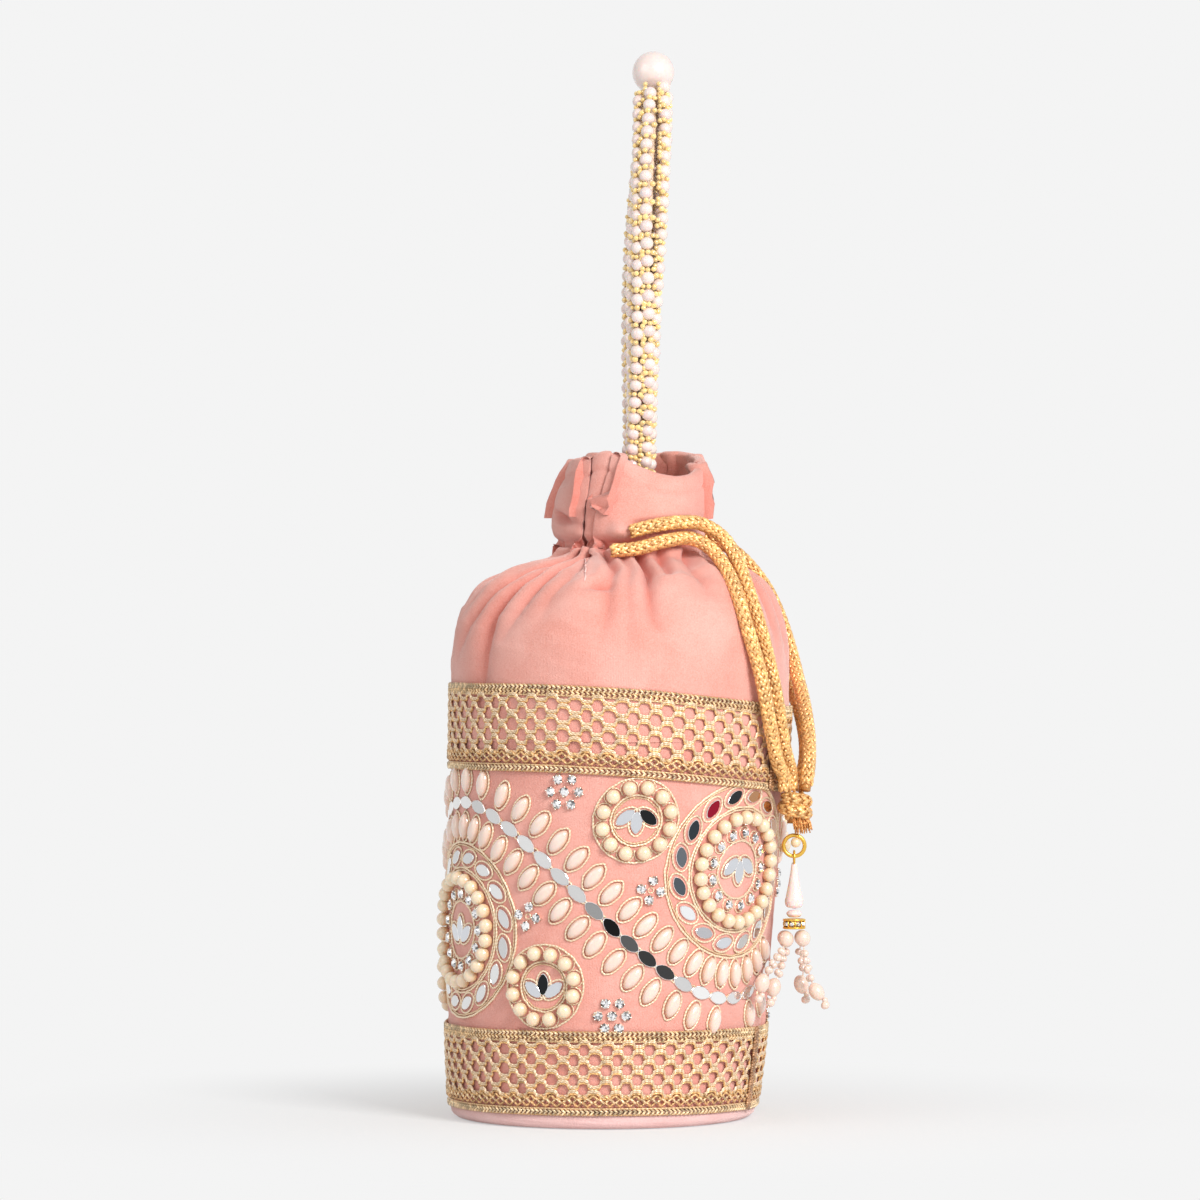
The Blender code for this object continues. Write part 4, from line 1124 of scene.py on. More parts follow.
def large_medallion(angle, below):
    across = angle * PATTERN_RADIUS
    level = below * LARGE_MEDALLION_DROP
    couch(ring_line(across, level, 0.0242, 110), 0.00034)
    couch(ring_line(across, level, 0.0235, 110), 0.00026, tone=(0.9, 0.8, 0.7))
    for radius, width in ((0.0172, 0.00034), (0.0165, 0.0003), (0.0079, 0.00032)):
        couch(ring_line(across, level, radius, 90), width)
    leaves = 16
    for i in range(leaves):
        turn = 2.0 * math.pi * (i + 0.5) / leaves
        place = (across + 0.0203 * math.sin(turn), level + 0.0203 * math.cos(turn))
        # Each leaf mirror's tone is a painted reflection: listed on the medallion right of the front, brownish on its
        # first leaves, at random elsewhere.
        if abs(angle - (FIRST_CREST + HALF_WAVE)) < 0.01:
            tone = LEAF_REFLECTIONS[(leaves - 1 - i) % len(LEAF_REFLECTIONS)] if i > 5 else (0.5, 0.25, 0.12)
        else:
            tone = np.array((1.0, 1.0, 1.0)) * hand.uniform(0.6, 0.85)
        leaf(*place, -turn + math.radians(20.0), tone, 0.90, (0.0079, 0.0050))
    pearls = 22
    for i in range(pearls):
        turn = 2.0 * math.pi * (i + hand.uniform(-0.05, 0.05)) / pearls
        set_round_pearl(across + 0.0143 * math.sin(turn), level + 0.0143 * math.cos(turn), 0.0040, 0.0012)
    stones = 13
    for i in range(stones):
        turn = 2.0 * math.pi * (i + 0.2) / stones
        place = (across + 0.0101 * math.sin(turn), level + 0.0101 * math.cos(turn))
        set_crystal(*place)
        couch(ring_line(*place, 0.0019, 14, 0.00004), 0.00022)
    sprout(across, level, below, 0.0044, 1.0)


def sprout(across, level, below, reach, size):
    """Three mirror leaves that spring from one foot: upwards under a crest, downwards over a trough."""
    up = -below
    for turn in (0.0, math.radians(50.0), math.radians(-50.0)):
        place = (
            across + reach * math.sin(turn) * up,
            level - up * reach * 0.85 + up * reach * math.cos(turn),
        )
        lean = math.radians(90.0) - turn
        # A third of the small medallions' leaves get a dark painted reflection, the others a pale one.
        dark = hand.random() < 0.34
        tone = np.array((0.02, 0.022, 0.024)) if dark and size < 1.0 else np.array((0.7, 0.72, 0.76))
        leaf(*place, lean, tone, 0.98 * size, (0.0079 * size, 0.0046 * size))


def small_medallion(across, level, below):
    couch(ring_line(across, level, 0.0115, 60), 0.00034)
    couch(ring_line(across, level, 0.0069, 44), 0.00034)
    couch(ring_line(across, level, 0.0062, 44), 0.00024, tone=(0.9, 0.8, 0.7))
    pearls = 12
    for i in range(pearls):
        turn = 2.0 * math.pi * (i + 0.5) / pearls
        reach = 0.0091 + hand.gauss(0.0, 0.0001)
        place = (across + reach * math.sin(turn), level + reach * math.cos(turn))
        set_round_pearl(*place)
        arc = turn + np.linspace(-2.2, 2.2, 9)
        loop = np.stack([place[0] + 0.0024 * np.sin(arc), place[1] + 0.0024 * np.cos(arc)], axis=1)
        couch(loop, 0.00022, closed=False)
    sprout(across, level, below, 0.0040, 0.94)


def flower(across, level, petals, reach, middle_too):
    for i in range(petals):
        turn = 2.0 * math.pi * (i + (0.5 if petals == 6 else 0.1)) / petals
        set_crystal(across + reach * math.sin(turn), level + reach * math.cos(turn))
    if middle_too:
        set_crystal(across, level)
    stem = [(across + 0.0008 * math.sin(t), level + 0.0008 * math.cos(t)) for t in np.linspace(0.0, 6.0, 8)]
    couch(stem, 0.0002, closed=False)


for number in range(-2, 3):
    angle = FIRST_CREST + number * HALF_WAVE
    below = -1.0 if number % 2 == 0 else 1.0
    if not SEAM - 2.0 * math.pi < angle - 0.2 < SEAM:
        continue
    large_medallion(angle, below)
    aside, drop = SMALL_MEDALLION_PLACE
    for side in (-1.0, 1.0):
        small_medallion((angle + side * aside) * PATTERN_RADIUS, below * drop, below)
        big = (angle + side * math.radians(46.5)) * PATTERN_RADIUS
        flower(big, -below * 0.0304, 6, 0.0039, True)
        small = (angle + side * math.radians(35.0)) * PATTERN_RADIUS
        flower(small, below * 0.0037, 4, 0.0027, False)


def pearl_material(name, colour, roughness):
    """Pearl lacquer: a soft body colour, cloudy nacre and a clear glossy coat."""
    material, nodes, links, shader = nodes_of(name)
    nacre = nodes.new("ShaderNodeTexNoise")
    nacre.inputs["Scale"].default_value = 420.0
    nacre.inputs["Detail"].default_value = 3.0
    cloud = nodes.new("ShaderNodeMix")
    cloud.data_type = "RGBA"
    cloud.inputs["A"].default_value = (colour[0] * 0.93, colour[1] * 0.86, colour[2] * 0.82, 1.0)
    cloud.inputs["B"].default_value = (*colour, 1.0)
    links.new(nacre.outputs["Fac"], cloud.inputs["Factor"])
    tone = nodes.new("ShaderNodeVertexColor")
    tone.layer_name = "tone"
    tinted = nodes.new("ShaderNodeMix")
    tinted.data_type = "RGBA"
    tinted.blend_type = "MULTIPLY"
    tinted.inputs["Factor"].default_value = 1.0
    links.new(cloud.outputs["Result"], tinted.inputs["A"])
    links.new(tone.outputs["Color"], tinted.inputs["B"])
    links.new(tinted.outputs["Result"], shader.inputs["Base Color"])
    bump = nodes.new("ShaderNodeBump")
    bump.inputs["Strength"].default_value = 0.25
    bump.inputs["Distance"].default_value = 0.00008
    links.new(nacre.outputs["Fac"], bump.inputs["Height"])
    links.new(bump.outputs["Normal"], shader.inputs["Normal"])
    shader.inputs["Roughness"].default_value = roughness
    shader.inputs["Subsurface Weight"].default_value = 0.15
    shader.inputs["Subsurface Scale"].default_value = 0.001
    shader.inputs["Coat Weight"].default_value = 1.0
    shader.inputs["Coat IOR"].default_value = 1.8
    shader.inputs["Coat Roughness"].default_value = 0.16
    return material


def silvered_material(name, roughness, metallic):
    """Silvered glass or cut crystal: each facet's tone is what it throws back, with faint scratches."""
    material, nodes, links, shader = nodes_of(name)
    tone = nodes.new("ShaderNodeVertexColor")
    tone.layer_name = "tone"
    specks = nodes.new("ShaderNodeTexNoise")
    specks.inputs["Scale"].default_value = 1400.0
    specks.inputs["Detail"].default_value = 4.0
    worn = nodes.new("ShaderNodeMapRange")
    worn.inputs["From Min"].default_value = 0.35
    worn.inputs["From Max"].default_value = 0.75
    worn.inputs["To Min"].default_value = roughness * 0.7
    worn.inputs["To Max"].default_value = roughness * 2.2
    links.new(specks.outputs["Fac"], worn.inputs["Value"])
    links.new(worn.outputs["Result"], shader.inputs["Roughness"])
    links.new(tone.outputs["Color"], shader.inputs["Base Color"])
    shader.inputs["Metallic"].default_value = metallic
    return material


ivory_pearl = pearl_material("ivory_pearl", (0.88, 0.75, 0.54), 0.3)
blush_pearl = pearl_material("blush_pearl", (0.88, 0.71, 0.62), 0.3)
mirror_glass = silvered_material("mirror_glass", 0.07, 0.9)
cut_crystal = silvered_material("cut_crystal", 0.05, 0.85)

cords.piece("couched_cords", zari_cord, "bag", "lace")
mirrors.piece("mirrors", mirror_glass, "bag", "gold", smooth=False)
long_pearls.piece("long_pearls", blush_pearl, "bag", "pearl")
round_pearls.piece("round_pearls", ivory_pearl, "bag", "pearl")
crystals.piece("crystals", cut_crystal, "bag", "gold", smooth=False)
crystal_cups.piece("crystal_cups", mirror_glass, "bag", "gold")


# The gathered top: one tube of velvet, drawn in at the neck by the cords in their channel. Above them it
# stands up as a ruffle of soft loops, with its hem turned in, and below them it folds over the shoulder.
TOP_PROFILE = [
    (0.1054, 0.0003, 0.0471, 1.10),
    (0.1180, 0.0008, 0.0473, 1.10),
    (0.1310, 0.0010, 0.0475, 1.10),
    (0.1400, 0.0010, 0.0457, 1.10),
    (0.1475, 0.0012, 0.0417, 1.11),
    (0.1515, 0.0018, 0.0363, 1.13),
    (0.1543, 0.0026, 0.0295, 1.18),
    (0.1560, 0.0033, 0.0236, 1.27),
    (0.1590, 0.0036, 0.0208, 1.34),
]
NECK_TOP = 0.1590
RUFFLE_PROFILE = [
    (0.0, 0.0036, 0.0208, 1.34),
    (0.10, 0.0034, 0.0212, 1.30),
    (0.25, 0.0033, 0.0219, 1.25),
    (0.45, 0.0034, 0.0221, 1.21),
    (0.70, 0.0043, 0.0210, 1.20),
    (0.88, 0.0050, 0.0200, 1.20),
    (1.0, 0.0054, 0.0193, 1.20),
]
# The ruffle's folds, in degrees round the neck: the cloth's place, how far the fold leans by the rim, how
# far it bows half way up, the reach at its bottom, and the reach of the loop after it.
RUFFLE_FOLDS = [
    (-105.0, 0.0, 0.0, 0.84, 1.00),
    (-43.0, -2.0, 6.5, 0.84, 0.97),
    (-30.5, 9.5, 3.0, 0.86, 1.03),
    (73.0, 4.0, -2.0, 0.86, 0.98),
    (110.0, 3.0, 2.0, 0.86, 1.01),
    (148.0, -3.0, -3.0, 0.86, 0.98),
    (187.0, 3.0, 2.0, 0.86, 1.01),
    (222.0, -2.0, -2.0, 0.86, 0.98),
]
# One loop, from fold to fold: the share of its cloth, how far across it lies and how far out it stands.
LOOP_SHAPE = [
    (0.00, 0.00, 0.00),
    (0.05, 0.02, 0.34),
    (0.10, -0.01, 0.70),
    (0.16, -0.02, 0.90),
    (0.24, 0.06, 1.00),
    (0.50, 0.50, 1.02),
    (0.76, 0.94, 1.00),
    (0.84, 1.02, 0.90),
    (0.90, 1.01, 0.70),
    (0.95, 0.98, 0.34),
]
RIM_HEIGHTS = [
    (-105.0, 0.1836),
    (-90.0, 0.1832),
    (-60.0, 0.1838),
    (-47.0, 0.1832),
    (-36.0, 0.1858),
    (-25.0, 0.1852),
    (-14.0, 0.1840),
    (0.0, 0.1812),
    (18.0, 0.1790),
    (36.0, 0.1782),
    (54.0, 0.1790),
    (70.0, 0.1812),
    (84.0, 0.1836),
    (110.0, 0.1850),
    (140.0, 0.1862),
    (180.0, 0.1852),
    (215.0, 0.1860),
]
# The gathers below the neck. Each is a line of angles and heights, its depth and its width.
GATHERS = [
    ([(-44.5, 0.158), (-44.5, 0.151), (-48.1, 0.146), (-52.7, 0.140), (-54.0, 0.130), (-55.0, 0.112)], 0.0038, 0.0017),
    ([(-31.5, 0.158), (-34.5, 0.150), (-39.0, 0.142), (-45.0, 0.131)], 0.0030, 0.0019),
    ([(-52.0, 0.158), (-54.1, 0.150), (-60.0, 0.145), (-67.0, 0.137), (-74.0, 0.126)], 0.0030, 0.0015),
    ([(-62.0, 0.158), (-67.8, 0.152), (-70.5, 0.147), (-75.0, 0.138)], 0.0024, 0.0014),
    ([(-22.0, 0.158), (-22.2, 0.150), (-27.0, 0.145), (-30.0, 0.134)], 0.0018, 0.0023),
    ([(-6.0, 0.156), (-5.4, 0.148), (-5.4, 0.142), (-7.8, 0.129)], 0.0024, 0.0022),
    ([(2.0, 0.158), (1.8, 0.148), (2.6, 0.141), (2.0, 0.124)], 0.0014, 0.0019),
    ([(10.6, 0.156), (9.9, 0.148), (9.9, 0.140), (13.5, 0.132)], 0.0036, 0.0014),
    ([(22.0, 0.158), (21.0, 0.154), (18.5, 0.148)], 0.0034, 0.0018),
    ([(36.0, 0.158), (33.0, 0.153), (33.0, 0.143)], 0.0030, 0.0018),
    ([(50.0, 0.158), (52.0, 0.150), (54.0, 0.141)], 0.0018, 0.0022),
    ([(66.0, 0.158), (66.0, 0.148), (64.0, 0.128)], 0.0030, 0.0019),
]
# Creases that run round the bag: angle, height, depth, half width in degrees, half height and slope.
CREASES = [
    (-10.0, 0.1483, 0.0024, 4.5, 0.0013, 0.00010),
    (20.0, 0.1500, -0.0013, 6.0, 0.0011, 0.00004),
    (22.0, 0.1655, 0.0024, 22.0, 0.0010, 0.00003),
    (29.0, 0.1641, 0.0030, 8.0, 0.0012, 0.0),
    (-8.0, 0.1597, 0.0032, 8.0, 0.0011, 0.0),
    (-7.0, 0.1632, -0.0028, 6.0, 0.0024, 0.0),
    (-66.0, 0.1672, 0.0036, 22.0, 0.0015, -0.00008),
    (-72.0, 0.1770, 0.0007, 18.0, 0.0012, 0.0),
    (-22.0, 0.1708, 0.0016, 7.0, 0.0014, 0.00012),
    (150.0, 0.1690, 0.0012, 25.0, 0.0012, 0.00003),
    (225.0, 0.1680, 0.0012, 22.0, 0.0012, -0.00003),
]
HEM = 0.0017
HEM_STITCHES = 0.0050
COLUMNS = 480


def round_the_neck(table, at):
    """Reads a table of angle and values, which goes once round the neck, at other angles."""
    table = np.array(table, float)
    lap = np.array([360.0] + [0.0] * (table.shape[1] - 1))
    wrapped = np.vstack([table[-3:] - lap, table, table[:3] + lap])
    at = (np.asarray(at, float) - table[0, 0]) % 360.0 + table[0, 0]
    return [np.interp(at, wrapped[:, 0], wrapped[:, k]) for k in range(1, table.shape[1])]


def softened(values, times):
    """Rounds off a closed line of values."""
    for _ in range(times):
        values = 0.5 * values + 0.25 * (np.roll(values, 1, axis=-1) + np.roll(values, -1, axis=-1))
    return values


def apart(angles, angle):
    """How far angles are from one angle, in degrees, the short way round."""
    return (angles - angle + 180.0) % 360.0 - 180.0


def grid_normals(points):
    """Directions out of a closed grid of points."""
    round_it = np.roll(points, -1, axis=1) - np.roll(points, 1, axis=1)
    upwards = np.gradient(points, axis=0)
    normals = np.cross(round_it, upwards)
    return normals / np.maximum(np.linalg.norm(normals, axis=2), 1e-12)[..., None]


def evenly_up(profile, spacing):
    """Rows of a profile this far apart along its curve."""
    fine = smooth_rows(profile, 20)
    along = np.concatenate([[0.0], np.cumsum(np.hypot(np.diff(fine[:, 0]), np.diff(fine[:, 2])))])
    wanted = np.linspace(0.0, along[-1], round(along[-1] / spacing))
    return np.stack([np.interp(wanted, along, fine[:, k]) for k in range(4)], axis=1)


cloth_turns = -180.0 + 360.0 * np.arange(COLUMNS) / COLUMNS
folds = np.array(RUFFLE_FOLDS + [(RUFFLE_FOLDS[0][0] + 360.0, *RUFFLE_FOLDS[0][1:])])
loop_rows = []
for fold, after in zip(folds, folds[1:]):
    for share, across, out in LOOP_SHAPE:
        column = fold[0] + share * (after[0] - fold[0])
        low = fold[0] + across * (after[0] - fold[0])
        lean = fold[1] + across * (after[1] - fold[1])
        bow = fold[2] + across * (after[2] - fold[2])
        loop_rows.append((column, low - column, lean, bow, fold[3] + out * (fold[4] - fold[3])))
low_shift, lean, bow, reach = (softened(value, 5) for value in round_the_neck(loop_rows, cloth_turns))


def ruffle_angles(share):
    """Where each column of the cloth stands round the neck, at a share of the ruffle's height."""
    return cloth_turns + low_shift + lean * share + 4.0 * bow * share * (1.0 - share)


rim_height = softened(round_the_neck(RIM_HEIGHTS, ruffle_angles(1.0))[0], 12)
outer = []
for height, middle, wide, ratio in evenly_up(TOP_PROFILE, 0.00062):
    ease = np.clip((height - 0.1525) / (NECK_TOP - 0.1525), 0.0, 1.0)
    ease = ease * ease * (3.0 - 2.0 * ease)
    angle = np.radians(cloth_turns * (1.0 - ease) + ruffle_angles(0.0) * ease)
    size = wide * (1.0 - 0.62 * ease * (1.0 - reach))
    outer.append(
        np.stack([middle + size * np.sin(angle), -size * ratio * np.cos(angle), 0.0 * angle + height], axis=1)
    )
shoulder_rows = len(outer)
for share in np.linspace(0.0, 1.0, 44)[1:]:
    middle, wide, ratio = (
        np.interp(share, [row[0] for row in RUFFLE_PROFILE], [row[k] for row in RUFFLE_PROFILE]) for k in (1, 2, 3)
    )
    full = 0.62 + 0.38 * min(1.0, share / 0.16)
    angle = np.radians(ruffle_angles(share))
    size = wide * (1.0 - full * (1.0 - reach))
    height = NECK_TOP + (rim_height - HEM - NECK_TOP) * share
    outer.append(np.stack([middle + size * np.sin(angle), -size * ratio * np.cos(angle), height], axis=1))
outer = np.array(outer)

back_gathers = random.Random(7)
angle = 78.0
while angle < 286.0:
    long_one = back_gathers.random() < 0.5
    drift = back_gathers.uniform(-4.0, 4.0)
    bottom = back_gathers.uniform(0.114, 0.128) if long_one else back_gathers.uniform(0.132, 0.143)
    line = [(angle, 0.158), (angle + 0.3 * drift, 0.150), (angle + drift, bottom)]
    GATHERS.append((line, back_gathers.uniform(0.0024, 0.0036), back_gathers.uniform(0.0014, 0.0021)))
    angle += back_gathers.uniform(7.5, 14.0)

normals = grid_normals(outer)
level = outer[:, :, 2]
across_mm = np.radians(1.0) * np.linalg.norm(outer[:, :, :2] - outer[:, :, :2].mean(axis=1)[:, None], axis=2)
depth = np.zeros(outer.shape[:2])
for line, fold, width in GATHERS:
    line = np.array(line)[::-1]
    centre = np.interp(level, line[:, 1], line[:, 0])
    share = np.clip((0.1580 - level) / (0.1580 - line[0, 1]), 0.0, 1.0)
    fade = (1.0 - share**1.6) * np.clip((0.1605 - level) / 0.0030, 0.0, 1.0)
    off = apart(cloth_turns[None, :], centre) * across_mm / (1.15 * width * (0.8 + 1.3 * share))
    valley = np.exp(0.2 - np.sqrt(off * off + 0.04))
    depth += 1.45 * fold * fade * valley
depth -= 0.72 * depth.mean(axis=1)[:, None] * (level < NECK_TOP)
there = np.where(level > NECK_TOP, np.degrees(np.arctan2(outer[:, :, 0] - 0.004, -outer[:, :, 1])), cloth_turns)
for angle, height, fold, width, tall, slope in CREASES:
    off = apart(there, angle)
    depth += fold * np.exp(-((off / width) ** 2) - (((level - height - slope * off) / tall) ** 2))
depth += 0.0012 * np.exp(-(((level - 0.1602) / 0.0012) ** 2))
depth += 0.0004 * np.exp(-(((rim_height[None, :] - HEM_STITCHES - level) / 0.0007) ** 2))
turns = np.radians(cloth_turns)
pucker = soft_waves(31, turns[None, :] * 3.0, level * 260.0, 10)
channel = np.clip((level - 0.1500) / 0.002, 0.0, 1.0) * np.clip((0.1610 - level) / 0.002, 0.0, 1.0)
depth += pucker * (0.00018 * np.clip((level - 0.110) / 0.02, 0.0, 1.0) + 0.00045 * channel)
depth += 0.00035 * channel * np.sin(turns * 41.0 + 2.0 * soft_waves(5, turns[None, :], 0.0 * level, 5))
outer = outer - normals * depth[:, :, None]
# Painted shade and light: the velvet is toned darker and redder as deep as it sinks into its folds and creases, and a
# little paler on ridges.
hollow = np.clip(depth / 0.0024, -0.5, 1.0)[:, :, None]
fold_shade_tone = 1.0 - np.array([0.08, 0.30, 0.33]) * np.maximum(hollow, 0.0) - np.array([0.02, 0.10, 0.11]) * np.minimum(hollow, 0.0)

flat_out = grid_normals(outer)
flat_out[:, :, 2] = 0.0
flat_out /= np.maximum(np.linalg.norm(flat_out, axis=2), 1e-9)[..., None]
hem_rows = [
    outer[-1] + flat_out[-1] * HEM * (math.cos(step) - 1.0) + np.array([0.0, 0.0, HEM * math.sin(step)])
    for step in np.radians([22.0, 45.0, 68.0, 90.0, 112.0, 135.0, 160.0])
]
inner_rows = []
for step in range(1, 8):
    row = len(outer) - 1 - 4 * step
    sunk = outer[row] - flat_out[row] * 2.0 * HEM
    centre = np.array([outer[row, :, 0].mean(), 0.0, 0.0])
    inner = centre + (sunk - centre) * np.array([1.06, 1.06, 1.0])
    inner[:, 2] = softened(sunk[:, 2], 20)
    inner_rows.append(np.stack([softened(inner[:, k], 3) for k in range(3)], axis=1))
cloth = np.concatenate([outer, np.array(hem_rows), np.array(inner_rows)])
cloth_tone = np.ones_like(cloth)
cloth_tone[: len(outer)] = fold_shade_tone
cloth_tone[len(outer) + len(hem_rows) :] = (0.95, 0.80, 0.78)
run = np.concatenate([[0.0], np.cumsum(np.linalg.norm(np.diff(cloth[:, 0], axis=0), axis=1))])
gathered_top = cloth_grid("gathered_velvet", cloth, 0.300, list(run), blush_velvet, tone=cloth_tone)
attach(gathered_top, "bag")
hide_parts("gathered_top")

# The channel is closed at the front by a short upright row of stitches, which puckers the velvet.
side_seam = Bundle()
seam_line = []
for row in range(shoulder_rows):
    column = int(np.argmin(np.abs(outer[row, :, 0] + 0.0091) + (outer[row, :, 1] > 0.0)))
    if 0.1488 < outer[row, column, 2] < 0.1570:
        seam_line.append(outer[row, column] + normals[row, column] * 0.0002)
seam_line = spaced_along(np.array(seam_line), 8)
for first, second in zip(seam_line, seam_line[1:]):
    stitch = np.array([first, 0.5 * (first + second) + np.array([0.0002, -0.0003, 0.0]), second * 0.9 + first * 0.1])
    side_seam.tube(stitch, 0.00024, 6, tone=(1.0, 0.9, 0.88))
seam_thread = thread_material("rosy_thread", (0.80, 0.46, 0.42), (0.98, 0.78, 0.74), 0.55, 0.0, 0.0007, 0.00005)
side_seam.piece("channel_stitches", seam_thread, "bag", "velvet")

# Inside the neck: a satin lining, the strip of satin that closes the drawstring channel, the two cords
# that run behind it, and the two satin tabs that the handle's legs are sewn to.
def satin_material():
    material, nodes, links, shader = nodes_of("pink_satin")
    where = nodes.new("ShaderNodeTexCoord")
    stretched = nodes.new("ShaderNodeMapping")
    stretched.inputs["Scale"].default_value = (900.0, 900.0, 60.0)
    links.new(where.outputs["Object"], stretched.inputs["Vector"])
    threads = nodes.new("ShaderNodeTexNoise")
    threads.inputs["Scale"].default_value = 1.0
    threads.inputs["Detail"].default_value = 3.0
    links.new(stretched.outputs["Vector"], threads.inputs["Vector"])
    # Painted shade and light of soft folds: a broad noise between a darker and a paler pink.
    folds = nodes.new("ShaderNodeTexNoise")
    folds.inputs["Scale"].default_value = 90.0
    links.new(where.outputs["Object"], folds.inputs["Vector"])
    colours = nodes.new("ShaderNodeMix")
    colours.data_type = "RGBA"
    colours.inputs["A"].default_value = (0.70, 0.30, 0.27, 1.0)
    colours.inputs["B"].default_value = (0.88, 0.50, 0.46, 1.0)
    links.new(folds.outputs["Fac"], colours.inputs["Factor"])
    links.new(colours.outputs["Result"], shader.inputs["Base Color"])
    bump = nodes.new("ShaderNodeBump")
    bump.inputs["Strength"].default_value = 0.35
    bump.inputs["Distance"].default_value = 0.0003
    links.new(threads.outputs["Fac"], bump.inputs["Height"])
    links.new(bump.outputs["Normal"], shader.inputs["Normal"])
    shader.inputs["Roughness"].default_value = 0.38
    shader.inputs["Sheen Weight"].default_value = 0.2
    return material


pink_satin = satin_material()
for node in ("lining", "channel_strip", "handle_foot_front", "handle_foot_back"):
    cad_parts[node].data.materials[0] = pink_satin

for node in ("channel_cord_1", "channel_cord_2"):
    hidden_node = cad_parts[node]
    corners = np.array([hidden_node.matrix_world @ vertex.co for vertex in hidden_node.data.vertices])
    low, high = corners.min(axis=0), corners.max(axis=0)
    middle, half = 0.5 * (low + high), 0.5 * (high - low)
    turn = np.linspace(0.0, 2.0 * math.pi, 97)
    wide, deep = half[0] - 0.5 * CORD_WIDTH, half[1] - 0.5 * CORD_WIDTH
    ring_cord = np.stack(
        [middle[0] + wide * np.sin(turn), middle[1] - deep * np.cos(turn), middle[2] + 0.0 * turn], axis=1
    )
    inner_cord = Bundle()
    knit_along(inner_cord, ring_cord, 0.48 * CORD_WIDTH, 8, 0.0021, 70)
    hidden = inner_cord.piece(node + "_knit", lurex, "bag", "cord")
    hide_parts(node)

# The handle: two legs, each of five strands of strung pearls with gold seed beads between them, laid round
# a thread core. They stand up in a narrow loop and meet under one large pearl.
HANDLE_ROUTE = [
    (0.0059, -0.0132, 0.1710),
    (0.0059, -0.0133, 0.1770),
    (0.0061, -0.0148, 0.1860),
    (0.0069, -0.0216, 0.2100),
    (0.0076, -0.0246, 0.2350),
    (0.0086, -0.0200, 0.2600),
    (0.0095, -0.0114, 0.2750),
    (0.0098, -0.0068, 0.2826),
    (0.0099, -0.0053, 0.2869),
]
TOP_PEARL_CENTRE = (0.0099, 0.0, 0.2917)
TOP_PEARL_RADIUS = 0.0059
STRANDS = 6
STRAND_RADIUS = 0.0030
HANDLE_PEARL = 0.00190
SEED_BEAD = 0.00084
PEARL_PITCH = 0.0046


def scatter_ball(bundle, shape, centre, size, spin, tone):
    """Puts one ball of a unit shape in a bundle, stretched by its size and turned by its spin."""
    points, faces = shape
    bundle.add(points * size @ spin.T + centre, faces, tone)


def any_turn(chance):
    """A random turn, as a 3 by 3 table of numbers."""
    angles = [chance.uniform(0.0, 2.0 * math.pi) for _ in range(3)]
    return np.array((Matrix.Rotation(angles[0], 3, "X") @ Matrix.Rotation(angles[1], 3, "Z")).to_3x3())


